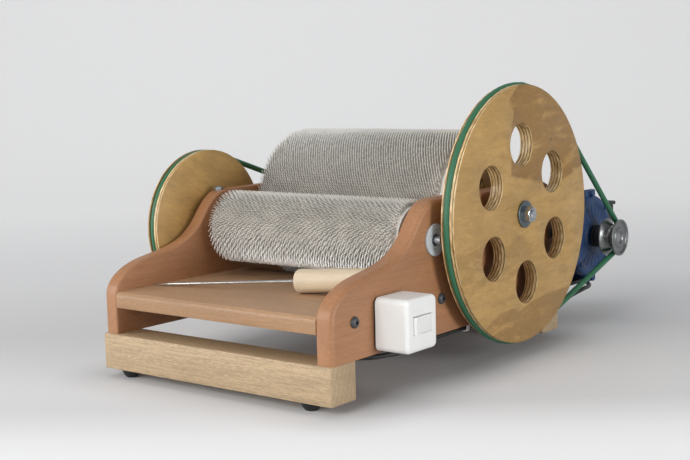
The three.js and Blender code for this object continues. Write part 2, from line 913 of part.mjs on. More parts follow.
// Licker-in: wooden roller, clothing, axle and belt wheel
const lickerin_bore = lickerin_axle_radius + seat_gap;
add(
  "lickerin_core",
  tubeX(lickerin_bore, lickerin_radius, lickerin_left, lickerin_right, lickerin_y, lickerin_z, drum_sides),
  birch,
);
add(
  "lickerin_card_cloth",
  cardClothing(
    lickerin_radius,
    lickerin_left,
    lickerin_right,
    lickerin_y,
    lickerin_z,
    lickerin_pin_rows,
    lickerin_pins_in_row,
    lickerin_pin_lean,
  ),
  card_wire,
);
const lickerin_nut_face = lickerin_wheel_back - small_nut_height;
const lickerin_axle_left = lickerin_nut_face - thread_end;
const lickerin_axle_right = bearing_face + lickerin_stub;
add(
  "lickerin_axle",
  turnedX(
    [
      [lickerin_axle_left, 0],
      [lickerin_axle_left, lickerin_axle_radius],
      [-collar_end, lickerin_axle_radius],
      [-collar_end, lickerin_collar_radius],
      [lickerin_left, lickerin_collar_radius],
      [lickerin_left, lickerin_axle_radius],
      [lickerin_right, lickerin_axle_radius],
      [lickerin_right, lickerin_collar_radius],
      [collar_end, lickerin_collar_radius],
      [collar_end, lickerin_axle_radius],
      [lickerin_axle_right, lickerin_axle_radius],
      [lickerin_axle_right, 0],
    ],
    lickerin_y,
    lickerin_z,
    shaft_sides,
  ),
  bright_steel,
);
add(
  "lickerin_wheel",
  groovedWheel(
    lickerin_wheel_back,
    lickerin_wheel_face,
    lickerin_belt_x,
    lickerin_wheel_radius,
    lickerin_belt_seat,
    lickerin_bore,
    lickerin_y,
    lickerin_z,
    drum_sides,
  ),
  plywood,
);
const lickerin_nut = hexNut(small_nut_flats, lickerin_bore, small_nut_height).rotate([0, -90, 0]);
add("lickerin_nut", lickerin_nut.translate([lickerin_wheel_back, lickerin_y, lickerin_z]), bright_steel);

// Round belts: rings of points around two pulleys, joined by straight runs
function roundBelt(x, large, small, large_steps, small_steps) {
  const reach = Math.hypot(small.y - large.y, small.z - large.z);
  const heading = Math.atan2(small.z - large.z, small.y - large.y);
  const spread = Math.acos((large.radius - small.radius) / reach);
  const stops = [];
  for (let step = 0; step <= large_steps; step += 1) {
    const share = step / large_steps;
    stops.push([large, heading + spread + share * 2 * (Math.PI - spread)]);
  }
  for (let step = 0; step <= small_steps; step += 1) {
    const share = step / small_steps;
    stops.push([small, heading - spread + share * 2 * spread]);
  }
  const positions = [];
  const faces = [];
  stops.forEach(([pulley, turn], ring) => {
    for (let side = 0; side < belt_sides; side += 1) {
      const around = (2 * Math.PI * side) / belt_sides;
      const radius = pulley.radius + belt_radius * Math.cos(around);
      positions.push(
        x + belt_radius * Math.sin(around),
        pulley.y + radius * Math.cos(turn),
        pulley.z + radius * Math.sin(turn),
      );
      const next_side = (side + 1) % belt_sides;
      const here = ring * belt_sides;
      const there = ((ring + 1) % stops.length) * belt_sides;
      faces.push(here + side, there + side, there + next_side);
      faces.push(here + side, there + next_side, here + next_side);
    }
  });
  const belt = new THREE.BufferGeometry();
  belt.setAttribute("position", new THREE.Float32BufferAttribute(positions, 3));
  belt.setIndex(faces);
  return solid(belt);
}

add(
  "drive_belt",
  roundBelt(
    drive_belt_x,
    { y: drum_y, z: drum_z, radius: drive_belt_seat },
    { y: motor_y, z: motor_z, radius: pulley_belt_radius },
    drive_wheel_wrap_steps,
    motor_pulley_wrap_steps,
  ),
  belt_green,
);
add(
  "lickerin_belt",
  roundBelt(
    lickerin_belt_x,
    { y: lickerin_y, z: lickerin_z, radius: lickerin_belt_seat },
    { y: drum_y, z: drum_z, radius: small_pulley_seat },
    lickerin_wheel_wrap_steps,
    small_pulley_wrap_steps,
  ),
  belt_green,
);

// Motor plate let into the rear beam
const plate_back = frame_depth + motor_plate_overhang;
const foot_flange_top = beam_top + motor_foot_flange;
const motor_bolt_places = [];
for (const side of [-1, 1]) {
  for (const x of [motor_foot_left + motor_foot_bolt_inset, motor_foot_right - motor_foot_bolt_inset]) {
    motor_bolt_places.push([x, motor_y + side * (motor_foot_outer - motor_foot_bolt_inset / 2)]);
  }
}
const motor_bolt_holes = motor_bolt_places.map(([x, y]) =>
  rodZ(motor_bolt_radius + seat_gap, x, y, 0, foot_flange_top + overrun, bolt_sides),
);
const plate_outline = polygon([
  [motor_plate_left, plate_front],
  [motor_plate_right, plate_front],
  [motor_plate_right, plate_back - motor_plate_corner],
  [motor_plate_right - motor_plate_corner, plate_back],
  [motor_plate_left + motor_plate_corner, plate_back],
  [motor_plate_left, plate_back - motor_plate_corner],
]);
const plate = solid(
  new THREE.ExtrudeGeometry(plate_outline, { depth: motor_plate_thickness, bevelEnabled: false }).translate(
    0,
    0,
    rebate_bottom,
  ),
);
add("motor_plate", cut(plate, motor_bolt_holes), black_steel);

// Motor: finned body, ribbed shield, fan cover, feet and terminal box
function finnedOutline() {
  const pitch = (2 * Math.PI) / fin_count;
  const half_tip = (pitch * fin_width_share) / 2;
  const half_root = half_tip * fin_root_share;
  const root = body_radius - fin_depth;
  const points = [];
  for (let fin = 0; fin < fin_count; fin += 1) {
    const middle = fin * pitch;
    for (const [radius, turn] of [
      [root, middle - half_root],
      [body_radius, middle - half_tip],
      [body_radius, middle + half_tip],
      [root, middle + half_root],
    ]) {
      points.push([radius * Math.cos(turn), radius * Math.sin(turn)]);
    }
  }
  return polygon(points);
}

const shaft_bore_radius = shaft_radius + running_gap;
const body_bore = rodX(
  shaft_radius + clear_gap,
  body_right - shaft_in_body - clear_gap,
  shield_face + overrun,
  motor_y,
  motor_z,
  shaft_sides,
);
const motor_body = prismX(finnedOutline(), body_left, body_right).translate([0, motor_y, motor_z]);
add("motor_body", motor_body.subtract(body_bore), blue_paint);

function driveShield() {
  const rim_face = body_right + shield_rim;
  const dish = turnedX(
    [
      [body_right, shaft_bore_radius],
      [body_right, shield_radius],
      [rim_face, shield_radius],
      [rim_face + shield_rib_height / 2, shield_radius - shield_rib_height / 2],
      [rim_face + shield_rib_height / 2, shield_radius - shield_rim],
      [shield_face, shield_boss_radius],
      [shield_face + shield_boss_length, shield_boss_radius],
      [shield_face + shield_boss_length, shaft_bore_radius],
      [body_right, shaft_bore_radius],
    ],
    motor_y,
    motor_z,
    pulley_sides,
  );
  const half = shield_rib_width / 2;
  const rib_reach = shield_radius * shield_rib_top_share;
  const rib_face = shield_face + shield_rib_height;
  const rib = block(rim_face, rib_face, shield_boss_radius - half, rib_reach, -half, half);
  const ribs = Array.from({ length: shield_rib_count }, (_, index) =>
    rib.rotate([(360 * index) / shield_rib_count, 0, 0]).translate([0, motor_y, motor_z]),
  );
  const lug_inner = shield_radius - shield_lug_length;
  const lugs = [-1, 1].map((side) =>
    block(
      rim_face - shield_lug_length,
      rim_face,
      motor_y - shield_lug_width / 2,
      motor_y + shield_lug_width / 2,
      motor_z + Math.min(side * lug_inner, side * shield_lug_reach),
      motor_z + Math.max(side * lug_inner, side * shield_lug_reach),
    ),
  );
  return union([dish, ...ribs, ...lugs]);
}

add("motor_drive_shield", driveShield(), blue_paint);

const cover_end = body_left - fan_cover_length;
const fan_slots = Array.from({ length: fan_slot_count }, (_, index) =>
  block(
    cover_end - overrun,
    cover_end + fan_slot_depth,
    -fan_slot_width / 2,
    fan_slot_width / 2,
    fan_cover_round,
    fan_cover_round + fan_slot_length,
  )
    .rotate([(360 * index) / fan_slot_count, 0, 0])
    .translate([0, motor_y, motor_z]),
);
const cover_middle = cover_end + fan_cover_round * (1 - Math.SQRT1_2);
const cover_shoulder = fan_cover_radius - fan_cover_round * (1 - Math.SQRT1_2);
const fan_cover = turnedX(
  [
    [cover_end, 0],
    [cover_end, fan_cover_radius - fan_cover_round],
    [cover_middle, cover_shoulder],
    [cover_end + fan_cover_round, fan_cover_radius],
    [body_left, fan_cover_radius],
    [body_left, 0],
  ],
  motor_y,
  motor_z,
  pulley_sides,
);
add("motor_fan_cover", cut(fan_cover, fan_slots), blue_paint);

const facet_room = 1 / Math.cos(Math.PI / drum_sides);
const body_room = (body_radius + seat_gap) * facet_room;
const shield_room = (shield_radius + clear_gap) * facet_room;
const body_core = rodX(
  body_room,
  motor_foot_left - overrun,
  motor_foot_right + overrun,
  motor_y,
  motor_z,
  drum_sides,
);
const outer_lip = motor_foot_outer - motor_foot_bolt_inset;
const foot_outline = polygon([
  [motor_foot_inner, beam_top],
  [motor_foot_outer, beam_top],
  [motor_foot_outer, foot_flange_top],
  [outer_lip, foot_flange_top],
  [motor_foot_inner + motor_foot_web, motor_z - motor_foot_inner],
  [motor_foot_inner, motor_z - motor_foot_inner],
]);
const foot_blank = prismX(foot_outline, motor_foot_left, motor_foot_right);
const foot_rear = cut(foot_blank.translate([0, motor_y, 0]), [body_core, ...motor_bolt_holes]);
const foot_front_blank = foot_blank.mirror([0, 1, 0]).translate([0, motor_y, 0]);
const foot_front = cut(foot_front_blank, [body_core, ...motor_bolt_holes]);
add("motor_foot_rear", foot_rear, blue_paint);
add("motor_foot_front", foot_front, blue_paint);

const motor_bolt = union([
  rodZ(hexRadius(motor_bolt_flats), 0, 0, foot_flange_top, foot_flange_top + motor_bolt_head, 6),
  rodZ(motor_bolt_radius, 0, 0, rebate_bottom, foot_flange_top + motor_bolt_head / 2, bolt_sides),
]);
motor_bolt_places.forEach(([x, y], index) => {
  add(`motor_bolt_${index + 1}`, motor_bolt.translate([x, y, 0]), bright_steel);
});

const terminal_front = motor_y + body_radius - fin_depth - terminal_sink;
const terminal_lid_front = motor_y + body_radius + terminal_depth - terminal_lid_thickness;
const terminal_back = terminal_lid_front + terminal_lid_thickness;
const terminal_right = body_right - terminal_end_setback;
const terminal_left = terminal_right - terminal_width;
const terminal_top = motor_z + terminal_height / 2 + terminal_rise;
const terminal_bottom = terminal_top - terminal_height;
const terminal_box = union([
  roundedBoxY(
    terminal_left,
    terminal_right,
    terminal_bottom,
    terminal_top,
    terminal_front,
    terminal_lid_front,
    terminal_round,
  ),
  roundedBoxY(
    terminal_left - terminal_lid_lip,
    terminal_right + terminal_lid_lip,
    terminal_bottom - terminal_lid_lip,
    terminal_top + terminal_lid_lip,
    terminal_lid_front,
    terminal_back,
    terminal_round,
  ),
]);
const terminal_seat = rodX(body_room, 0, shield_face, motor_y, motor_z, drum_sides);
const shield_clearance = rodX(shield_room, body_right - clear_gap, shield_face, motor_y, motor_z, drum_sides);
add("motor_terminal_box", cut(terminal_box, [terminal_seat, shield_clearance]), black_plastic);

// Motor shaft and its grooved pulley
const pulley_back = drive_belt_x - pulley_half_width;
const pulley_face = drive_belt_x + pulley_half_width;
const shaft_end = pulley_face - shaft_end_setback;
const seal_back = shield_face + shield_boss_length + clear_gap;
add(
  "motor_shaft",
  turnedX(
    [
      [body_right - shaft_in_body, 0],
      [body_right - shaft_in_body, shaft_radius],
      [seal_back, shaft_radius],
      [seal_back, seal_radius],
      [seal_back + seal_thickness, seal_radius],
      [seal_back + seal_thickness, shaft_radius],
      [shaft_end, shaft_radius],
      [shaft_end, 0],
    ],
    motor_y,
    motor_z,
    shaft_sides,
  ),
  black_steel,
);
const pulley_hub_back = pulley_back - pulley_hub_length;
const pulley_bore = shaft_radius + seat_gap;
add(
  "motor_pulley",
  turnedX(
    [
      [pulley_hub_back, pulley_bore],
      [pulley_hub_back, pulley_hub_radius],
      [pulley_back, pulley_hub_radius],
      [pulley_back, pulley_radius],
      [pulley_back + pulley_rim, pulley_radius],
      [drive_belt_x - belt_radius / 2, pulley_root_radius],
      [drive_belt_x + belt_radius / 2, pulley_root_radius],
      [pulley_face - pulley_rim, pulley_radius],
      [pulley_face, pulley_radius],
      [pulley_face, pulley_radius - pulley_rim],
      [pulley_face - pulley_face_recess, pulley_radius - pulley_rim],
      [pulley_face - pulley_face_recess, pulley_bore],
      [pulley_hub_back, pulley_bore],
    ],
    motor_y,
    motor_z,
    shaft_sides,
  ),
  bright_steel,
);

// Switch box and rocker
const switch_y0 = switch_y - switch_width / 2;
const switch_y1 = switch_y + switch_width / 2;
const plate_face = panel_outer + switch_plate_thickness;
add(
  "switch_base_plate",
  prismX(
    roundedRectangle(
      switch_y0 + switch_plate_inset,
      switch_y1 - switch_plate_inset,
      switch_bottom + switch_plate_inset,
      switch_top - switch_plate_inset,
      switch_corner,
    ),
    panel_outer,
    plate_face,
    3,
  ),
  black_plastic,
);
const housing_blank = roundedPrismX(
  roundedRectangle(switch_y0, switch_y1, switch_bottom, switch_top, switch_corner),
  panel_outer - switch_edge_round - overrun,
  switch_face,
  switch_edge_round,
  3,
  2,
);
const rocker_space = rocker_radius + clear_gap;
const rocker_well = block(
  switch_face - rocker_well_depth,
  switch_face + overrun,
  switch_y - rocker_space,
  switch_y + rocker_space,
  switch_z - rocker_height / 2 - clear_gap,
  switch_z + rocker_height / 2 + clear_gap,
);
const behind_housing = block(
  panel_outer - overrun * 3,
  plate_face,
  switch_y0 - overrun,
  switch_y1 + overrun,
  switch_bottom - overrun,
  switch_top + overrun,
);
add("switch_housing", cut(housing_blank, [behind_housing, rocker_well]), white_plastic);

function rockerOutline() {
  const half_tilt = THREE.MathUtils.degToRad(rocker_tilt_degrees / 2);
  const crown = rocker_pivot_depth / Math.cos(half_tilt);
  const top_turn = Math.asin(rocker_pivot_depth / rocker_radius) + half_tilt;
  const bottom_turn = Math.asin(rocker_underside / rocker_radius);
  const outline = new THREE.Shape();
  outline.moveTo(crown, 0);
  outline.lineTo(rocker_radius * Math.sin(top_turn), rocker_radius * Math.cos(top_turn));
  outline.absarc(0, 0, rocker_radius, Math.PI / 2 - top_turn, Math.PI / 2 + bottom_turn);
  outline.lineTo(-rocker_underside, -rocker_radius * Math.cos(bottom_turn));
  outline.absarc(0, 0, rocker_radius, -Math.PI / 2 - bottom_turn, -Math.PI / 2 + top_turn);
  return outline;
}

const rocker_blank = solid(
  new THREE.ExtrudeGeometry(rockerOutline(), { depth: rocker_height, bevelEnabled: false, curveSegments: 3 }),
);
add(
  "switch_rocker",
  rocker_blank
    .rotate([0, 0, rocker_tilt_degrees / 2])
    .translate([switch_face - rocker_pivot_depth, switch_y, switch_z - rocker_height / 2]),
  white_plastic,
);

// Motor lead: from the switch box under the right panel, through the rear beam and up to the terminal box.
// X is counted from the panel's outer face, and Y from the middle of the switch or from the frame's rear.
const lead_front_points = [
  [12, 10, 60.7],
  [12, 10, 57.2],
  [9.5, 2, 54.2],
  [4.5, -9, 53.6],
  [1, -21, 53.6],
  [-6.5, -33, 53.6],
  [-17.5, -40, 53.6],
  [-28, -36.5, 53.6],
  [-31.5, -26, 53.6],
  [-28, -12, 53.6],
  [-20, 8, 53.6],
  [-11, 40, 53.6],
  [-5.5, 85, 53.6],
  [-4.5, 130, 53.6],
];
const lead_rear_points = [
  [-4.5, -194, 53.6],
  [-4.5, -124, 53.6],
  [-7, -89, 52.2],
  [-18, -64, 44.5],
  [-27, -52, 37.5],
  [-30.9, -43, 34.5],
  [-30.9, -2, 34.5],
  [-30, 22, 34.5],
  [-26, 60, 40],
  [-24, 96, 45.5],
  [-25, 126, 48],
  [-32, 156, 47],
  [-49, 186, 46],
  [-80.7, 208, 51],
  [-88.7, 217.5, 62],
  [-89.7, 219.5, 81],
  [-89.7, 219.5, 92.7],
];
const lead_points = [
  ...lead_front_points.map(([x, y, z]) => new THREE.Vector3(panel_outer + x, switch_y + y, z)),
  ...lead_rear_points.map(([x, y, z]) => new THREE.Vector3(panel_outer + x, frame_depth + y, z)),
];

const lead_curve = new THREE.CatmullRomCurve3(lead_points, false, "centripetal");
const lead_circle = polygon(
  Array.from({ length: cable_sides }, (_, side) => {
    const turn = (2 * Math.PI * (side + 0.5)) / cable_sides;
    return [cable_radius * Math.cos(turn), cable_radius * Math.sin(turn)];
  }),
);
const lead = new THREE.ExtrudeGeometry(lead_circle, {
  steps: cable_steps,
  extrudePath: lead_curve,
  bevelEnabled: false,
});
add("motor_lead", solid(lead), black_plastic);

// White clips that hold the lead to the underside of the right panel
function clip(y) {
  const outer = cable_radius + clip_wall;
  const hole = (cable_radius + lead_gap) / Math.cos(Math.PI / bolt_sides);
  const saddle = new THREE.Shape();
  saddle.moveTo(-outer, beam_top - cable_z);
  saddle.lineTo(-outer, 0);
  saddle.absarc(0, 0, outer, Math.PI, 2 * Math.PI);
  saddle.lineTo(outer, beam_top - cable_z);
  const body = new THREE.ExtrudeGeometry(saddle, {
    depth: clip_width,
    bevelEnabled: false,
    curveSegments: 5,
  });
  const upright = solid(body).rotate([90, 0, 0]).translate([lead_run_x, y + clip_width / 2, cable_z]);
  const tab = block(
    lead_run_x - outer - clip_tab,
    lead_run_x - outer + clip_wall / 2,
    y - clip_width / 2,
    y + clip_width / 2,
    beam_top - clip_wall * 1.5,
    beam_top,
  );
  const ahead = y - clip_width;
  const behind = y + clip_width;
  const channel = rodY(hole, lead_run_x, cable_z, ahead, behind, bolt_sides);
  const slot = block(lead_run_x - hole, lead_run_x + hole, ahead, behind, cable_z, beam_top + overrun);
  return cut(union([upright, tab]), [channel, slot]);
}

add("lead_clip_front", clip(switch_y + clip_front_reach), white_plastic);
add("lead_clip_rear", clip(frame_depth - clip_rear_setback), white_plastic);

// Doffing awl: a steel rod in a turned handle, lying across the feed shelf
const awl_tip_x = awl_tip_gap - panel_inner;
const awl_across = panel_inner - awl_end_gap - awl_tip_x;
const tray_depth = lickerin_y - lickerin_tip_radius - panel_front;
const awl_tip_y = panel_front + tray_depth * awl_tip_share;
const awl_back = tray_depth * (awl_end_share - awl_tip_share);
const awl_yaw = Math.atan2(awl_back, awl_across);
const awl_rod_length = Math.hypot(awl_across, awl_back) - awl_handle_length;
const awl_rest_span = awl_rod_length + awl_handle_round - awl_point_length;
const awl_pitch = Math.atan2(awl_handle_radius - awl_rod_radius, awl_rest_span);
const awl_tip_lift = awl_rod_radius * Math.cos(awl_pitch) - awl_point_length * Math.sin(awl_pitch);
const tip_z = shelf_top + seat_gap + awl_tip_lift;

function placedAwl(body) {
  return body
    .rotate([0, -THREE.MathUtils.radToDeg(awl_pitch), THREE.MathUtils.radToDeg(awl_yaw)])
    .translate([awl_tip_x, awl_tip_y, tip_z]);
}

const awl_rod = turnedX(
  [
    [0, 0],
    [awl_point_length / 12, awl_rod_radius / 3],
    [awl_point_length, awl_rod_radius],
    [awl_rod_length + awl_rod_in_handle, awl_rod_radius],
    [awl_rod_length + awl_rod_in_handle, 0],
  ],
  0,
  0,
  bolt_sides,
);
add("awl_rod", placedAwl(awl_rod), bright_steel);
add("awl_handle", awlHandle(), birch);

function awlHandle() {
  const hole = awl_rod_radius + seat_gap;
  const end = awl_handle_length;
  const blind = awl_rod_in_handle + seat_gap;
  const round = awl_handle_round;
  const rear_radius = awl_handle_radius - awl_handle_taper;
  const turned = turnedX(
    [
      [0, hole],
      [0, awl_handle_radius - round],
      [round, awl_handle_radius],
      [end - round, rear_radius],
      [end, rear_radius - round],
      [end, 0],
      [blind, 0],
      [blind, hole],
      [0, hole],
    ],
    0,
    0,
    shaft_sides,
  );
  return placedAwl(turned.translate([awl_rod_length, 0, 0]));
}

// The part's own frame: the middle of the box's underside
const bounds = new THREE.Box3().setFromObject(carder);
const middle = bounds.getCenter(new THREE.Vector3());
carder.position.set(-middle.x, -middle.y, -bounds.min.z);

export default carder;
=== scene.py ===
from math import acos, atan2, cos, hypot, pi, radians, sin
from random import Random

import bmesh
import bpy
from bpy.props import FloatProperty, FloatVectorProperty, IntProperty, PointerProperty
from mathutils import Matrix, Vector
from mathutils.geometry import interpolate_bezier


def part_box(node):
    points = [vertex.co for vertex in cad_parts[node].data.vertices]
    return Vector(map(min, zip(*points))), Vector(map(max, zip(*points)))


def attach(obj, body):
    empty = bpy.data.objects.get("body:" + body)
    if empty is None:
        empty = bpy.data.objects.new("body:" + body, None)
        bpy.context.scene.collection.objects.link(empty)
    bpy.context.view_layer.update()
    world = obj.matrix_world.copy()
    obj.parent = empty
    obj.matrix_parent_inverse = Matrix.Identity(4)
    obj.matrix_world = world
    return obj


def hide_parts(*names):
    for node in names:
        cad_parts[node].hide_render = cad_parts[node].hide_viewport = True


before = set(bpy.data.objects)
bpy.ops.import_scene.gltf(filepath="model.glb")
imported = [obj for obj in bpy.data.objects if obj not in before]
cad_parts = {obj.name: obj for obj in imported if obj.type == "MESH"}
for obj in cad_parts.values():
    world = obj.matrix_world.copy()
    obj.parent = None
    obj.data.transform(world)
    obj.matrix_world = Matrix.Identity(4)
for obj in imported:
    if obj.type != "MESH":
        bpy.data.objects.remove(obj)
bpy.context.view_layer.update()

bl_info = {
    "name": "Drum Carder",
    "version": (1, 0, 0),
    "blender": (4, 5, 0),
    "location": "3D View > Sidebar > Carder",
    "description": "Dresses a motorised drum carder in wood, card clothing, belts, paint and steel",
    "category": "Add Mesh",
}

ACROSS = Vector((1, 0, 0))
BACK = Vector((0, 1, 0))
UP = Vector((0, 0, 1))
WELD = 1e-6


# Places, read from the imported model. Lengths are in metres.
def middle_of(node):
    """The middle of a CAD node."""
    low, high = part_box(node)
    return (low + high) / 2


def axis_of(node):
    """The point on a turning axis, in the machine's middle plane, that a round CAD node gives."""
    middle = middle_of(node)
    return Vector((MIDDLE_X, middle.y, middle.z))


def span(node):
    """Where a CAD node starts and ends across the machine, counted from the middle plane."""
    low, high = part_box(node)
    return low.x - MIDDLE_X, high.x - MIDDLE_X


def radius_of(node):
    """Half the height of a round CAD node."""
    low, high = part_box(node)
    return (high.z - low.z) / 2


MIDDLE_X = middle_of("front_beam").x
PANEL_LOW, PANEL_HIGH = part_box("side_panel_right")
# The right panel's faces, counted from the middle plane. The left panel mirrors it.
INNER, OUTER = span("side_panel_right")
DRUM = axis_of("drum_bearing_right")
LICKER = axis_of("lickerin_bearing_right")
MOTOR = axis_of("motor_shaft")
AWL_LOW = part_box("awl_rod")[0]
AWL_TIP = AWL_LOW + Vector((0, 0.0004, 0.0012))

# Radii of the turning parts. A wheel's bore is larger than its shaft by the fit.
DRUM_SHAFT = 0.006
LICKER_SHAFT = 0.005
MOTOR_SHAFT = 0.007
FIT = 0.00015
DRUM_SHELL = 0.097
DRUM_CLOTH = 0.1
LICKER_CORE = 0.037
LICKER_CLOTH = 0.04
BELT_GROOVE = 0.0045
BELT_RADIUS = 0.0039
LEAD_RADIUS = 0.0031
# The lead's hole in the rear beam and its run under the right panel, counted in from the panel's outer face.
LEAD_HOLE_IN = 0.0309
LEAD_RUN_IN = 0.0045
LEAD_RUN_HEIGHT = 0.0536


def shade(red, green, blue):
    """A colour as it looks on a screen, 0 to 255, turned into a shader's linear values."""
    shares = [channel / 255 for channel in (red, green, blue)]
    return tuple(s / 12.92 if s <= 0.04045 else ((s + 0.055) / 1.055) ** 2.4 for s in shares)


def colour_choice(name, description, red, green, blue):
    return FloatVectorProperty(
        name=name, description=description, subtype="COLOR", size=3, min=0, max=1,
        default=shade(red, green, blue),
    )


def length_choice(name, description, default):
    return FloatProperty(
        name=name, description=description, unit="LENGTH", subtype="DISTANCE", default=default,
    )


def count_choice(name, description, default):
    return IntProperty(name=name, description=description, default=default, min=3)


class CarderWoods(bpy.types.PropertyGroup):
    oak: colour_choice("Beam oak", "Main colour of the two beams", 178, 153, 120)
    cherry: colour_choice("Panel wood", "Main colour of the side panels", 166, 117, 80)
    shelf: colour_choice("Shelf wood", "Main colour of the feed shelf", 186, 147, 112)
    plywood: colour_choice("Plywood", "Main colour of the belt wheels", 178, 142, 84)
    plywood_stain: colour_choice("Plywood stain", "Colour of the big wheel's darker patches", 126, 90, 42)
    birch: colour_choice("Turned wood", "Colour of the awl handle and the drum shell", 214, 196, 168)


class CarderPaints(bpy.types.PropertyGroup):
    motor_blue: colour_choice("Motor blue", "Paint of the motor", 24, 56, 98)
    belt_green: colour_choice("Belt green", "Colour of the two round belts", 44, 103, 72)
    switch_white: colour_choice("Switch white", "Plastic of the switch box", 236, 236, 234)
    bearing_grey: colour_choice("Bearing grey", "Plastic of the bearing flanges", 186, 192, 196)
    # Painted sheen: the wire tips are near white, standing in for the steel's glints.
    wire: colour_choice("Card wire", "Colour of the wire tips", 252, 250, 245)
    floor: colour_choice("Floor", "Colour of the floor and backdrop", 205, 205, 206)


class CarderCloth(bpy.types.PropertyGroup):
    pin_height: length_choice("Pin height", "How far a wire point stands above its backing", 0.0085)
    pin_lean: length_choice("Pin lean", "How far a wire's tip is bent round the roller", 0.0026)
    wire_radius: length_choice("Wire radius", "Half the thickness of a wire point at its foot", 0.00062)
    wire_pitch: length_choice("Wire pitch", "Distance between wire points along a row", 0.0040)
    drum_sets: count_choice("Drum row sets", "Sets of four rows round the drum", 45)
    licker_sets: count_choice("Licker-in row sets", "Sets of four rows round it", 21)


class CarderDetails(bpy.types.PropertyGroup):
    edge_ease: length_choice("Edge ease", "Rounding of sawn wooden edges", 0.0012)
    panel_round: length_choice("Panel round", "Rounding of the side panels' outer edges", 0.0065)
    rib_count: count_choice("Motor ribs", "Radial ribs on the motor's end shield", 22)
    fin_count: count_choice("Motor fins", "Cooling fins round the motor's body", 32)
    thread_pitch: length_choice("Thread pitch", "Distance between threads on the axle's end", 0.00125)


def choices():
    return bpy.context.scene


# Finishes
# A ring texture of scale one repeats about every 0.314 units. Plywood is laid up in plies this thick.
RING_SCALE = 0.314
PLY = 0.00225


class Wire:
    """A socket in a finish's nodes that takes part in ordinary sums."""

    def __init__(self, bench, socket):
        self.bench = bench
        self.socket = socket

    def __add__(self, other):
        return self.bench.sum("ADD", self, other)

    __radd__ = __add__

    def __sub__(self, other):
        return self.bench.sum("SUBTRACT", self, other)

    def __rsub__(self, other):
        return self.bench.sum("SUBTRACT", other, self)

    def __mul__(self, other):
        return self.bench.sum("MULTIPLY", self, other)

    __rmul__ = __mul__

    def __truediv__(self, other):
        return self.bench.sum("DIVIDE", self, other)

    def __rtruediv__(self, other):
        return self.bench.sum("DIVIDE", other, self)

    def __pow__(self, other):
        return self.bench.sum("POWER", self, other)

    def __abs__(self):
        return self.bench.sum("ABSOLUTE", self)


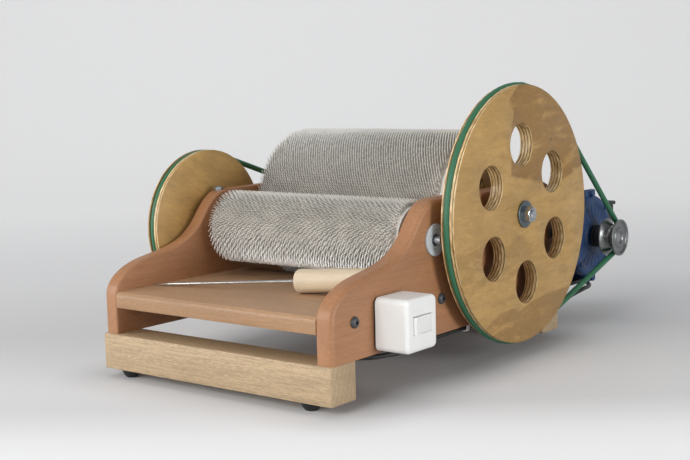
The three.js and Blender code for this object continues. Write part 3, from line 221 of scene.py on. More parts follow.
class Bench:
    """One finish being mixed, with its material, nodes and shader."""

    def __init__(self, name):
        self.material = bpy.data.materials.new(name)
        self.material.use_nodes = True
        self.tree = self.material.node_tree
        self.tree.nodes.clear()
        self.shader = self.tree.nodes.new("ShaderNodeBsdfPrincipled")
        surface = self.tree.nodes.new("ShaderNodeOutputMaterial")
        self.tree.links.new(self.shader.outputs["BSDF"], surface.inputs["Surface"])

    def feed(self, node, name, value):
        if isinstance(name, int):
            socket = node.inputs[name]
        else:
            socket = next(s for s in node.inputs if name in (s.identifier, s.name) and s.enabled)
        if isinstance(value, Wire):
            self.tree.links.new(value.socket, socket)
        elif hasattr(value, "__len__") and socket.type == "RGBA":
            socket.default_value = (*value[:3], 1)
        else:
            socket.default_value = value

    def node(self, kind, settings=None, inputs=None, out=0):
        """Any node: its settings are set first, then the values or links of its sockets."""
        made = self.tree.nodes.new(kind)
        for key, value in (settings or {}).items():
            if key == "stops":
                ramp = made.color_ramp
                while len(ramp.elements) < len(value):
                    ramp.elements.new(0.5)
                for element, (place, colour) in zip(ramp.elements, value):
                    element.position = place
                    element.color = (*colour[:3], 1)
            else:
                setattr(made, key, value)
        for name, value in (inputs or {}).items():
            self.feed(made, name, value)
        if isinstance(out, int):
            return Wire(self, made.outputs[out])
        return Wire(self, next(s for s in made.outputs if out in (s.identifier, s.name)))

    def sum(self, operation, *values):
        return self.node("ShaderNodeMath", {"operation": operation}, dict(enumerate(values)))

    def place(self, centre=(0, 0, 0), size=(1, 1, 1), turn=(0, 0, 0)):
        """Object coordinates counted from a centre, in units of a pattern's size along each axis."""
        here = self.node("ShaderNodeTexCoord", out="Object")
        inputs = {"Vector": here, "Location": centre, "Rotation": turn, "Scale": size}
        return self.node("ShaderNodeMapping", {"vector_type": "TEXTURE"}, inputs)

    def split(self, vector):
        return [self.node("ShaderNodeSeparateXYZ", None, {0: vector}, out) for out in range(3)]

    def facing(self):
        """The surface's own direction, as three shares along X, Y and Z."""
        return self.split(self.node("ShaderNodeTexCoord", out="Normal"))

    def noise(self, vector, detail=2.0, roughness=0.5, distortion=0.0, scale=1.0):
        inputs = {"Vector": vector, "Scale": scale, "Detail": detail}
        inputs |= {"Roughness": roughness, "Distortion": distortion}
        return self.node("ShaderNodeTexNoise", None, inputs, "Fac")

    def speckle(self, size, detail=2.0, roughness=0.6):
        """Noise whose spots are about as large along each axis."""
        return self.noise(self.place(size=(size,) * 3), detail, roughness)

    def soft(self, value, low, high, start=0.0, end=1.0):
        """Rises smoothly from start to end while value goes from low to high."""
        inputs = {"Value": value, "From Min": low, "From Max": high, "To Min": start, "To Max": end}
        return self.node("ShaderNodeMapRange", {"interpolation_type": "SMOOTHSTEP"}, inputs)

    def curve(self, value, points):
        """Follows straight lines from point to point, each a pair of a value and what it becomes."""
        start, stop = points[0][0], points[-1][0]
        low = min(made for place, made in points)
        reach = max(made for place, made in points) - low
        stops = [((place - start) / (stop - start), ((made - low) / reach,) * 3) for place, made in points]
        progress = (value - start) / (stop - start)
        share = self.node("ShaderNodeValToRGB", {"stops": stops}, {"Fac": progress}, "Color")
        return share * reach + low

    def blend(self, share, first, second, how="MIX"):
        inputs = {"Factor_Float": share, "A_Color": first, "B_Color": second}
        settings = {"data_type": "RGBA", "blend_type": how, "clamp_factor": True}
        return self.node("ShaderNodeMix", settings, inputs, "Result_Color")

    def tones(self, value, low, high, main, first, last):
        """Shades of one colour: its first share where value is low, its last where value is high."""
        return self.blend(self.soft(value, low, high), darker(main, first), darker(main, last))

    def stroke(self, colour, value, low, high, strength, over):
        """Lays another colour over the first, by its strength, where value is high."""
        return self.blend(self.soft(value, low, high) * strength, colour, over)

    def larger(self, first, second):
        return self.sum("MAXIMUM", first, second)

    def distance(self, first, second):
        """How far a point is from a centre, by its two distances along and up."""
        return self.sum("SQRT", first ** 2 + second ** 2)

    def bump(self, height, distance, strength=1.0):
        inputs = {"Height": height, "Distance": distance, "Strength": strength}
        return self.node("ShaderNodeBump", None, inputs)

    def done(self, colour, roughness, normal=None, **fixed):
        self.feed(self.shader, "Base Color", colour)
        self.feed(self.shader, "Roughness", roughness)
        if normal:
            self.feed(self.shader, "Normal", normal)
        for name, value in fixed.items():
            self.feed(self.shader, name.replace("_", " "), value)
        return self.material


def darker(colour, share):
    return tuple(channel * share for channel in colour)


def board(name, main, along, pale=1.14, dark=0.66, ring=0.007, figure=0.5, streak=0.55, pores=0.35,
          pith=(0.03, -0.05, -0.12), roughness=0.48, front=None):
    """Sawn, varnished wood: broad figure, growth rings, fine streaks and short pores along the grain."""
    bench = Bench(name)

    def place(length, width):
        return bench.place(pith, [length if axis == along else width for axis in "XYZ"])

    broad = bench.noise(place(0.30, 0.035), 3, 0.55)
    fine = bench.noise(place(0.09, 0.0016), 4, 0.62)
    hair = bench.noise(place(0.035, 0.0006), 2, 0.6)
    ring_inputs = {"Vector": place(5, 1), "Scale": RING_SCALE / ring, "Distortion": 9.0, "Detail": 3.0}
    ring_inputs |= {"Detail Scale": 14.0, "Detail Roughness": 0.55}
    ring_settings = {"wave_type": "RINGS", "rings_direction": along}
    rings = bench.node("ShaderNodeTexWave", ring_settings, ring_inputs, "Fac")
    pore = bench.soft(bench.noise(place(0.014, 0.00045), 1, 0.5), 0.62, 0.74)
    colour = bench.tones(broad, 0.3, 0.7, main, 0.93, pale)
    colour = bench.blend(rings ** 2.2 * figure, colour, darker(main, dark))
    colour = bench.stroke(colour, fine, 0.42, 0.75, streak, darker(main, dark))
    colour = bench.stroke(colour, hair, 0.5, 0.8, streak * 0.5, darker(main, 1.25))
    colour = bench.blend(pore * pores, colour, darker(main, 0.42))
    # Painted shade, not wear: faces that look forward are multiplied by the front share.
    if front:
        ahead = bench.soft(bench.facing()[1], -0.85, -0.35, 1.0, 0.0)
        worn = (front, front * 0.96, front * 0.88)
        colour = bench.blend(ahead, colour, bench.blend(1.0, colour, worn, "MULTIPLY"))
    relief = fine * 0.5 + hair * 0.3 - pore * 0.8
    rough = bench.soft(fine, 0.3, 0.8, roughness - 0.05, roughness + 0.12)
    return bench.done(colour, rough, bench.bump(relief, 0.00018, 0.6), Coat_Weight=0.08, Coat_Roughness=0.3)


def ply_lines(bench, low_x, main):
    """Light and dark layers across a board's thickness, for its rim and the walls of its holes."""
    along = bench.split(bench.place((low_x, 0, 0)))[0]
    ripple = bench.noise(bench.place(size=(0.01, 0.020, 0.020)), 3)
    layer = bench.sum("PINGPONG", (along + (ripple - 0.5) * PLY * 0.6) / PLY, 1.0)
    ends = bench.noise(bench.place(size=(0.0025, 0.011, 0.011)), 3)
    pale = bench.blend(bench.soft(ends, 0.3, 0.7), darker(main, 0.9), shade(234, 206, 158))
    dark = bench.tones(ends, 0.3, 0.6, main, 0.16, 0.42)
    return bench.blend(bench.soft(layer, 0.58, 0.82), pale, dark)


def plywood(name, main, low_x, axis, stain=None, grain_turn=1.5):
    """Rotary-cut face veneer with wandering figure, and ply lines wherever the board's edge shows."""
    bench = Bench(name)
    centre = (low_x, axis.y, axis.z)

    def place(width, length, wander=0.0):
        return bench.place(centre, (1.0, width, length), (grain_turn + wander, 0, 0))

    drift = bench.noise(place(0.05, 0.08), 3, 0.6)
    broad = bench.noise(place(0.008, 0.036, 0.05), 5, 0.65, 1.0)
    cloud = bench.noise(place(0.016, 0.050, 0.1), 4, 0.6, 0.6)
    fine = bench.noise(place(0.0010, 0.012, -0.05), 4, 0.7)
    hair = bench.noise(place(0.0006, 0.007), 2, 0.6)
    face = bench.tones(drift, 0.35, 0.65, main, 0.94, 1.08)
    if stain:
        face = stain(bench, face, cloud)
    face = bench.stroke(face, cloud, 0.48, 0.66, 0.34, darker(main, 0.62))
    face = bench.stroke(face, cloud, 0.46, 0.30, 0.45, darker(main, 1.34))
    face = bench.stroke(face, broad, 0.44, 0.72, 0.40, darker(main, 0.60))
    face = bench.stroke(face, fine, 0.45, 0.8, 0.52, darker(main, 0.52))
    face = bench.stroke(face, hair, 0.5, 0.8, 0.36, darker(main, 1.45))
    rim = bench.soft(abs(bench.facing()[0]), 0.45, 0.75, 1.0, 0.0)
    colour = bench.blend(rim, face, ply_lines(bench, low_x, main))
    rough = bench.soft(broad, 0.3, 0.7, 0.37, 0.52)
    relief = bench.bump(fine * 0.6 + hair * 0.4, 0.00012, 0.5)
    return bench.done(colour, rough, relief, Coat_Weight=0.05, Coat_Roughness=0.35)


def blot(bench, along, height, spot, size, wobble):
    """A soft-edged patch of a wheel's face, whose outline wanders by the wobble."""
    away = bench.distance((along - spot[0]) / size[0], (height - spot[1]) / size[1])
    return bench.soft(away + wobble, 0.5, 1.5, 1.0, 0.0)


# The upper stain's lower edge, its left edge by height, and the foot patch's top, in metres from the axle.
STAIN_SILL = [
    (-0.17, 0.05), (-0.032, 0.05), (-0.007, 0.045), (0.034, 0.038), (0.057, 0.036), (0.102, 0.036),
    (0.125, 0.042), (0.152, 0.05), (0.17, 0.05),
]
STAIN_BOUND = [
    (-0.17, -0.033), (0.05, -0.033), (0.115, -0.030), (0.133, -0.025), (0.147, -0.036), (0.163, -0.016),
    (0.17, -0.012),
]
STAIN_FOOT = [
    (-0.17, -0.15), (-0.107, -0.136), (-0.061, -0.120), (-0.030, -0.118), (-0.016, -0.123), (0.025, -0.115),
    (0.089, -0.111), (0.17, -0.11),
]
# Small knots: distance along and up from the axle, and size.
KNOTS = [(0.071, 0.092, 0.0022), (0.047, -0.018, 0.0018), (-0.012, -0.030, 0.0014), (-0.10, 0.05, 0.0012)]


def big_wheel_stain(bench, face, broad):
    """Darker varnish on the wheel: a lobe from the top round the first hole, a foot patch and faint bands."""
    stained = choices().carder_woods.plywood_stain
    along, height = bench.split(bench.place(DRUM))[1:]
    wander = bench.noise(bench.place(DRUM, (1, 0.030, 0.030)), 3, 0.6)
    ragged = bench.noise(bench.place(DRUM, (1, 0.008, 0.008)), 3, 0.6)
    wobble = (wander - 0.5) * 0.028 + (ragged - 0.5) * 0.008
    sill = height - bench.curve(along, STAIN_SILL)
    bound = along - bench.curve(height, STAIN_BOUND)
    inside = bench.sum("MINIMUM", sill, bound) + wobble * 0.35
    upper = bench.soft(inside, -0.002, 0.004)
    tide = bench.soft(inside, 0.0, 0.030, 1.0, 0.8)
    foot = bench.soft(bench.curve(along, STAIN_FOOT) - height + wobble * 0.3, -0.001, 0.003)
    arcs = bench.sum("PINGPONG", bench.distance(along, height + 0.15) + wobble * 0.5, 0.0042)
    band = bench.soft(abs(height + 0.043 + wobble * 2), 0.006, 0.016, 0.42, 0.0)
    low_band = bench.soft(abs(height + 0.073 + wobble * 2), 0.003, 0.011, 0.34, 0.0)
    left = bench.soft(along, -0.02, 0.05, 1.0, 0.35)
    mottle = bench.soft(broad, 0.30, 0.62, 0.66, 1.0)
    face = bench.blend(upper * tide * mottle, face, stained)
    face = bench.blend(foot * mottle * 0.7, face, stained)
    face = bench.blend(foot * bench.soft(arcs, 0.0015, 0.0045) * ragged * 0.16, face, shade(206, 166, 112))
    face = bench.blend(bench.larger(band, low_band) * left * mottle, face, stained)
    for y, z, size in KNOTS:
        knot = blot(bench, along, height, (y, z), (size, size * 1.3), wobble * 4)
        face = bench.blend(knot * 0.7, face, shade(92, 62, 36))
    scratch = bench.noise(bench.place(DRUM, (1, 0.0005, 0.045), (0.25, 0, 0)), 1)
    area = blot(bench, along, height, (-0.075, -0.01), (0.035, 0.03), wobble)
    return bench.stroke(face, scratch, 0.68, 0.72, area * 0.6, shade(222, 196, 150))


def turned_wood(name, main, turn=(0, 0, 0), centre=(0, 0, 0)):
    """Pale close-grained wood, turned and waxed."""
    bench = Bench(name)
    fine = bench.noise(bench.place(centre, (0.05, 0.0012, 0.0012), turn), 3, 0.6)
    broad = bench.noise(bench.place(centre, (0.06, 0.012, 0.012), turn), 2)
    fleck = bench.soft(bench.noise(bench.place(centre, (0.008, 0.0006, 0.0006), turn), 1), 0.6, 0.75)
    colour = bench.tones(broad, 0.3, 0.7, main, 0.9, 1.08)
    colour = bench.stroke(colour, fine, 0.4, 0.8, 0.4, darker(main, 0.74))
    colour = bench.blend(fleck * 0.35, colour, darker(main, 0.5))
    return bench.done(colour, bench.soft(fine, 0.3, 0.8, 0.42, 0.56), bench.bump(fine - fleck, 0.0001, 0.5))


def moulded(name, main, roughness=0.4, grain=0.0006, depth=0.00003, grime=0.06):
    """Moulded plastic or rubber with a fine texture and faint handling marks."""
    bench = Bench(name)
    speck = bench.speckle(grain)
    cloud = bench.speckle(0.022, 4)
    colour = bench.stroke(main, cloud, 0.35, 0.75, grime * 4, darker(main, 0.8))
    rough = bench.soft(cloud, 0.25, 0.8, roughness - 0.06, roughness + 0.12)
    return bench.done(colour, rough, bench.bump(speck, depth, 0.6))


def turned_metal(name, main, roughness, centre, ring=0.0005, marks=0.5, dulled=0.35):
    """Metal faced in a lathe: fine rings about its axis, and soft smears that dull its tone in patches."""
    bench = Bench(name)
    inputs = {"Vector": bench.place(centre), "Scale": RING_SCALE / ring, "Distortion": 0.6, "Detail": 2.0}
    inputs["Detail Scale"] = 3.0
    rings = bench.node("ShaderNodeTexWave", {"wave_type": "RINGS", "rings_direction": "X"}, inputs, "Fac")
    smear = bench.noise(bench.place(centre, (0.012,) * 3), 4, 0.6)
    colour = bench.stroke(main, smear, 0.4, 0.75, dulled, darker(main, 0.6))
    rough = bench.soft(smear, 0.2, 0.8, roughness * 0.75, roughness * 1.6)
    return bench.done(colour, rough, bench.bump(rings * marks, 0.00002, 0.5), Metallic=1.0)


def plated(name, main, roughness=0.26):
    """Zinc plate: smooth grey steel with a faint blue cast and a few soft scuffs."""
    bench = Bench(name)
    cast = bench.speckle(0.012, 2, 0.5)
    scuff = bench.noise(bench.place(size=(0.002, 0.003, 0.002)), 2, 0.5)
    colour = bench.tones(cast, 0.35, 0.65, main, 1.0, 0.88)
    return bench.done(colour, bench.soft(scuff, 0.3, 0.8, roughness * 0.9, roughness * 1.3), Metallic=1.0)


def cast_paint(name, main):
    """Blue paint over a rough casting, a little paler where it is worn."""
    bench = Bench(name)
    peel = bench.speckle(0.0016, 3, 0.55)
    cast = bench.speckle(0.010, 4)
    colour = bench.tones(cast, 0.35, 0.7, main, 0.85, 1.15)
    return bench.done(colour, bench.soft(cast, 0.3, 0.75, 0.42, 0.58), bench.bump(peel + cast, 0.00012, 0.5))


def card_wire(name, axis, root_radius, height, main):
    """Bent steel wire: near-white at the tips as a painted sheen, darker towards the backing with painted
    shade between the wires and some dust.
    """
    bench = Bench(name)
    around, up = bench.split(bench.place((0, axis.y, axis.z)))[1:]
    tip = bench.soft(bench.distance(around, up), root_radius + height * 0.28, root_radius + height * 0.72)
    patch = bench.noise(bench.place((0, axis.y, axis.z), (0.030, 0.020, 0.020)), 3, 0.6)
    # Painted light: the near-white tips stand in for the steel's sheen, and the darkening to 0.42 towards the
    # foot is painted shade between the wires, with some dust.
    colour = bench.blend(tip, darker(main, 0.42), bench.tones(patch, 0.35, 0.7, main, 0.9, 1.0))
    return bench.done(colour, bench.soft(patch, 0.3, 0.7, 0.32, 0.46), Metallic=0.12)


def card_backing(name, left, right, main):
    """Layered cloth backing: darker between the wires with dust and painted shade, bare and pale at its
    margins.
    """
    bench = Bench(name)
    across = bench.split(bench.place((MIDDLE_X, 0, 0)))[0]
    torn = bench.noise(bench.place(size=(0.004, 0.008, 0.008)), 3, 0.6) * 0.006 - 0.003
    bare_right = bench.soft(across + torn, right, right + 0.001)
    margin = bench.larger(bare_right, bench.soft(across, left, left - 0.0006))
    weave = bench.speckle(0.0008, 3)
    dirt = bench.noise(bench.place(size=(0.020, 0.012, 0.012)), 3, 0.6)
    # The middle colour between the wires is darker than the bare margins: dust, and painted shade for the
    # gaps under the wires.
    middle = bench.tones(dirt, 0.35, 0.7, main, 0.7, 1.15)
    edge = bench.blend(weave, shade(188, 185, 178), shade(214, 212, 206))
    return bench.done(bench.blend(margin, middle, edge), 0.85, bench.bump(weave, 0.0002, 0.6))


def belt_finish(name, main):
    """Round urethane belt: an even, slightly waxy green with faint scuffs."""
    bench = Bench(name)
    rub = bench.noise(bench.place(size=(0.004, 0.010, 0.010)), 4, 0.65)
    speck = bench.speckle(0.0007)
    colour = bench.tones(rub, 0.4, 0.75, main, 0.94, 1.08)
    return bench.done(colour, bench.soft(rub, 0.3, 0.8, 0.46, 0.6), bench.bump(speck, 0.00008, 0.5))


FINISHES = {}


def finish(name):
    """Mixes each finish once, when a piece first asks for it."""
    if name in FINISHES:
        return FINISHES[name]
    woods = choices().carder_woods
    paints = choices().carder_paints
    wheel_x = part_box("drive_wheel")[0].x
    left_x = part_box("lickerin_wheel")[0].x
    veneer = woods.plywood
    grip_turn = (0, radians(-3.7), radians(14))
    makers = {
        "oak": lambda: board("Beam oak", woods.oak, "X", 1.2, 0.55, 0.0075, 0.5, 0.75, 0.5, (0, 0.03, -0.09)),
        "cherry": lambda: board("Panel cherry", woods.cherry, "Y", 1.10, 0.66, 0.010, 0.28, 0.5),
        # front=0.79 paints shade on the forward-looking faces of the shelf and the stretcher.
        "shelf": lambda: board("Shelf board", woods.shelf, "X", 1.12, 0.66, 0.009, 0.42, 0.6, front=0.79),
        "wheel": lambda: plywood("Big wheel plywood", veneer, wheel_x, DRUM, big_wheel_stain),
        "left wheel": lambda: plywood("Left wheel plywood", darker(veneer, 1.03), left_x, LICKER, None, 1.2),
        "disc": lambda: plywood("End disc plywood", darker(veneer, 0.92), wheel_x, DRUM, None, 0.1),
        "pulley": lambda: plywood("Small pulley plywood", veneer, left_x, DRUM, None, 0.3),
        "birch": lambda: turned_wood("Turned birch", woods.birch),
        "handle": lambda: turned_wood("Awl handle wood", woods.birch, grip_turn, AWL_TIP),
        "rubber": lambda: moulded("Foot rubber", shade(30, 30, 31), 0.75, 0.001, 0.0001),
        "lead": lambda: moulded("Lead sheath", shade(26, 26, 27), 0.5, 0.0009, 0.00004),
        "black plastic": lambda: moulded("Black plastic", shade(34, 34, 36), 0.5, 0.0008, 0.00006),
        "white plastic": lambda: moulded("Switch plastic", paints.switch_white, 0.34, 0.0007, 0.00002, 0.03),
        "clip plastic": lambda: moulded("Clip plastic", darker(paints.switch_white, 0.95)),
        "grey plastic": lambda: moulded("Bearing plastic", paints.bearing_grey, 0.42, 0.0007),
        "black steel": lambda: moulded("Black oxide", shade(64, 66, 70), 0.38, 0.0008),
        "plate paint": lambda: moulded("Plate paint", shade(40, 41, 44), 0.45, 0.0015, 0.0001),
        "zinc": lambda: plated("Zinc plate", shade(186, 192, 198)),
        "washer": lambda: plated("Washer zinc", shade(118, 128, 134), 0.34),
        "spike": lambda: plated("Awl steel", shade(214, 214, 212), 0.2),
        "axle": lambda: turned_metal("Ground steel", shade(196, 200, 204), 0.24, DRUM, 0.0011, 0.4),
        "licker axle": lambda: turned_metal("Ground stub", shade(196, 200, 204), 0.24, LICKER, 0.0011, 0.4),
        "shaft": lambda: turned_metal("Motor shaft", shade(170, 174, 178), 0.28, MOTOR, 0.0009, 0.4),
        "aluminium": lambda: turned_metal(
            "Turned aluminium", shade(138, 140, 140), 0.28, MOTOR, 0.0016, 1, 0.15
        ),
        "blue": lambda: cast_paint("Motor paint", paints.motor_blue),
        "belt": lambda: belt_finish("Belt green", paints.belt_green),
    }
    FINISHES[name] = makers[name]()
    return FINISHES[name]


# Shapes
def finished(name, bm, material, body, nodes=(), angle=35.0):
    """Makes a bmesh a piece with its finish, on its body, in place of its CAD nodes."""
    bmesh.ops.remove_doubles(bm, verts=bm.verts, dist=WELD)
    bmesh.ops.recalc_face_normals(bm, faces=bm.faces)
    mesh = bpy.data.meshes.new(name)
    bm.to_mesh(mesh)
    bm.free()
    mesh.shade_smooth()
    mesh.set_sharp_from_angle(angle=radians(angle))
    mesh.materials.append(material)
    piece = bpy.data.objects.new(name, mesh)
    bpy.context.scene.collection.objects.link(piece)
    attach(piece, body)
    if nodes:
        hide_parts(*nodes)
    return piece


def keep(node, material):
    """Gives a CAD node that stays its own finish."""
    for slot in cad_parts[node].material_slots:
        slot.material = material


def slab(bm, low, high, ease=0.0, steps=3):
    """A block between two corners, its edges rounded by ease."""
    made = bmesh.ops.create_cube(bm, size=1)["verts"]
    bmesh.ops.scale(bm, vec=Vector(high) - Vector(low), verts=made)
    bmesh.ops.translate(bm, vec=(Vector(low) + Vector(high)) / 2, verts=made)
    if ease:
        edges = list({edge for vert in made for edge in vert.link_edges})
        bevel(bm, edges, ease, steps)


def bevel(bm, edges, ease, steps=3):
    bmesh.ops.bevel(
        bm, geom=edges, offset=ease, offset_type="OFFSET", segments=steps, profile=0.5, affect="EDGES",
        clamp_overlap=True, material=-1,
    )


def arc(first, last, steps, radius):
    """Points of an arc about (0, 0), from one turn to another."""
    turns = [first + (last - first) * step / steps for step in range(steps + 1)]
    return [(radius * cos(turn), radius * sin(turn)) for turn in turns]


def beside(axis, radius, turn):
    """A point at a radius from an axis that runs across the machine."""
    return axis + Vector((0, cos(turn), sin(turn))) * radius


def verts_of(geometry):
    return [item for item in geometry if isinstance(item, bmesh.types.BMVert)]


def softened(profile, ease, steps=3):
    """Rounds the inner corners of a profile, so that a turned edge catches the light."""
    points = [Vector(point) for point in profile]
    rounded = [points[0]]
    for before, here, after in zip(points, points[1:], points[2:]):
        start = here + (before - here).normalized() * min(ease, (before - here).length * 0.45)
        end = here + (after - here).normalized() * min(ease, (after - here).length * 0.45)
        for step in range(steps + 1):
            share = step / steps
            rounded.append(start * (1 - share) ** 2 + here * 2 * share * (1 - share) + end * share ** 2)
    rounded.append(points[-1])
    return [tuple(point) for point in rounded]


def turned(bm, profile, start, direction=ACROSS, steps=96):
    """Spins a profile of (distance along the axis, radius) pairs into a round shape."""
    outward = direction.orthogonal().normalized()
    points = [start + direction * along + outward * radius for along, radius in profile]
    closed = tuple(profile[0]) == tuple(profile[-1])
    if closed:
        points.pop()
    verts = [bm.verts.new(point) for point in points]
    edges = [bm.edges.new(pair) for pair in zip(verts, verts[1:])]
    if closed:
        edges.append(bm.edges.new((verts[-1], verts[0])))
    bmesh.ops.spin(
        bm, geom=verts + edges, cent=start, axis=direction, angle=2 * pi, steps=steps, use_merge=True,
        use_duplicate=False,
    )


def copied_round(bm, axis, count):
    """Copies what is there round an axis, so that it stands there count times."""
    shape = bm.verts[:] + bm.edges[:] + bm.faces[:]
    turn = 2 * pi / count * (count - 1)
    bmesh.ops.spin(bm, geom=shape, cent=axis, axis=ACROSS, angle=turn, steps=count - 1, use_duplicate=True)


def spun(name, profile, axis, steps, material, body, nodes=(), angle=35.0):
    """Makes a piece of one profile, spun round an axis that runs across the machine."""
    bm = bmesh.new()
    turned(bm, profile, axis, ACROSS, steps)
    return finished(name, bm, material, body, nodes, angle)


def tube_profile(x0, x1, inner, outer):
    return [(x0, inner), (x0, outer), (x1, outer), (x1, inner), (x0, inner)]


def rod_profile(x0, x1, radius):
    return [(x0, 0), (x0, radius), (x1, radius), (x1, 0)]


def prism(bm, outline, depth):
    """Draws a flat outline and pulls it out by a vector."""
    face = bm.faces.new([bm.verts.new(point) for point in outline])
    pulled = bmesh.ops.extrude_face_region(bm, geom=[face], use_keep_orig=True)
    bmesh.ops.translate(bm, vec=depth, verts=verts_of(pulled["geom"]))


def carved(bm, tool, how="DIFFERENCE"):
    """One closed shape cut, joined or crossed with another, as a new bmesh."""
    holders = []
    for shape in (bm, tool):
        bmesh.ops.remove_doubles(shape, verts=shape.verts, dist=WELD)
        bmesh.ops.recalc_face_normals(shape, faces=shape.faces)
        mesh = bpy.data.meshes.new("carving")
        shape.to_mesh(mesh)
        shape.free()
        holder = bpy.data.objects.new("carving", mesh)
        bpy.context.scene.collection.objects.link(holder)
        holders.append(holder)
    blank, cutter = holders
    cut = blank.modifiers.new("cut", "BOOLEAN")
    cut.operation = how
    cut.object = cutter
    cut.solver = "EXACT"
    rest = bmesh.new()
    rest.from_object(blank, bpy.context.evaluated_depsgraph_get())
    for holder in holders:
        mesh = holder.data
        bpy.data.objects.remove(holder)
        bpy.data.meshes.remove(mesh)
    return rest


def hexagon(bm, flats, low, high, start, direction=ACROSS, chamfer=0.0006, bore=0.0):
    """A hexagonal head or nut between two distances along a line, chamfered on its outer face."""
    corner = flats / 2 / cos(pi / 6)
    outward = direction.orthogonal().normalized()
    sides = [Matrix.Rotation(pi / 3 * side, 3, direction) @ outward * corner for side in range(6)]
    rim = [start + direction * low + side for side in sides]
    blank = bmesh.new()
    prism(blank, rim, direction * (high - low))
    round_body = bmesh.new()
    profile = [(low - 0.001, 0), (low - 0.001, corner + 0.001), (high - chamfer * 1.4, corner + 0.0002)]
    profile += [(high, flats / 2 * 0.96), (high, 0)]
    turned(round_body, profile, start, direction, 48)
    nut = carved(blank, round_body, "INTERSECT")
    if bore:
        drill = bmesh.new()
        turned(drill, rod_profile(low - 0.001, high + 0.001, bore), start, direction, 48)
        nut = carved(nut, drill)
    absorb(bm, nut)


def hex_screw(bm, start, tall, flats, head, shank, chamfer, steps):
    """An upright screw with a hexagonal head."""
    hexagon(bm, flats, tall - head, tall, start, UP, chamfer)
    turned(bm, rod_profile(0, tall - head + 0.0001, shank), start, UP, steps)


def absorb(bm, other):
    """Adds another bmesh to this one."""
    mesh = bpy.data.meshes.new("part")
    other.to_mesh(mesh)
    other.free()
    bm.from_mesh(mesh)
    bpy.data.meshes.remove(mesh)


def sharp_edges(bm, angle=1.0):
    bmesh.ops.remove_doubles(bm, verts=bm.verts, dist=WELD)
    bm.normal_update()
    return [edge for edge in bm.edges if len(edge.link_faces) == 2 and edge.calc_face_angle() > angle]


def face_edges(bm, *faces):
    """The sharp edges that lie in one of a shape's flat faces, each given by its place across the machine."""
    def lies_in(vert):
        return min(abs(vert.co.x - face) for face in faces) < 1e-5

    return [edge for edge in sharp_edges(bm) if all(lies_in(vert) for vert in edge.verts)]


# Base
class CARDER_OT_beams(bpy.types.Operator):
    """Make the two oak beams, the rear one let in for the motor plate and bored for the lead"""

    bl_idname = "carder.beams"
    bl_label = "Beams"

    def execute(self, context):
        ease = context.scene.carder_details.edge_ease
        bm = bmesh.new()
        slab(bm, *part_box("front_beam"), ease)
        finished("oak_beam_front", bm, finish("oak"), "frame", ["front_beam"])
        low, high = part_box("rear_beam")
        plate_low, plate_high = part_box("motor_plate")
        bm = bmesh.new()
        slab(bm, low, high, ease)
        rebate = bmesh.new()
        slab(rebate, plate_low, (plate_high.x, high.y + 0.01, high.z + 0.01))
        lead_hole = bmesh.new()
        start = Vector((PANEL_HIGH.x - LEAD_HOLE_IN, low.y - 0.01, (low.z + high.z) / 2))
        turned(lead_hole, rod_profile(0, 0.07, 0.005), start, BACK, 32)
        bm = carved(carved(bm, rebate), lead_hole)
        finished("oak_beam_rear", bm, finish("oak"), "frame", ["rear_beam"])
        return {"FINISHED"}


class CARDER_OT_feet(bpy.types.Operator):
    """Turn the four rubber feet with their screw recesses"""

    bl_idname = "carder.feet"
    bl_label = "Feet"

    def execute(self, context):
        bm = bmesh.new()
        names = [f"foot_{row}_{side}" for row in ("front", "rear") for side in ("left", "right")]
        for name in names:
            low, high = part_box(name)
            radius = (high.x - low.x) / 2
            tall = high.z - low.z
            profile = [(tall, 0), (tall, radius), (0.0085, radius), (0.0025, radius - 0.0032)]
            profile += [(0, radius - 0.006), (0, 0.004), (0.007, 0.004), (0.007, 0)]
            start = middle_of(name) - UP * tall / 2
            turned(bm, softened(profile, 0.0012), start, UP, 48)
        finished("rubber_feet", bm, finish("rubber"), "frame", names)
        return {"FINISHED"}


BEARING_BORE = 0.01315
BOLT_BORE = 0.00415
SCREW_RECESS = 0.0086


def panel_bolts(side):
    return [f"panel_bolt_{place}_{side}" for place in ("front", "middle", "rear")]


def panel_outline(x):
    """The side panel's edge: a rounded toe, a sloping shoulder and a flat crest."""
    low, top = PANEL_LOW.z, PANEL_HIGH.z
    start = Vector((x, PANEL_LOW.y, low))
    end = Vector((x, PANEL_HIGH.y, low))
    toe = start + UP * 0.0484
    shoulder = start + Vector((0, 0.0524, 0.089))
    flank = Vector((x, LICKER.y - 0.0426, low + 0.1314))
    crest = Vector((x, LICKER.y + 0.0117, top))
    gentle = Vector((0, 1, 0.2))
    steep = Vector((0, 1, 1.25))
    rise = flank.y - shoulder.y
    climb = crest.y - flank.y
    curves = [
        (toe, toe + UP * 0.0208, shoulder - gentle * 0.0260952, shoulder, 12),
        (shoulder, shoulder + gentle * rise * 0.406, flank - steep * rise * 0.2546, flank, 20),
        (flank, flank + steep * climb * 0.289, crest - BACK * climb * 0.503, crest, 14),
    ]
    outline = [start, toe]
    for curve in curves:
        outline += interpolate_bezier(*curve)[1:]
    round_off = 0.04
    corner = Vector((x, end.y - round_off, top - round_off))
    outline += [corner + Vector((0, y, z)) for y, z in arc(pi / 2, 0, 10, round_off)]
    return outline + [end]


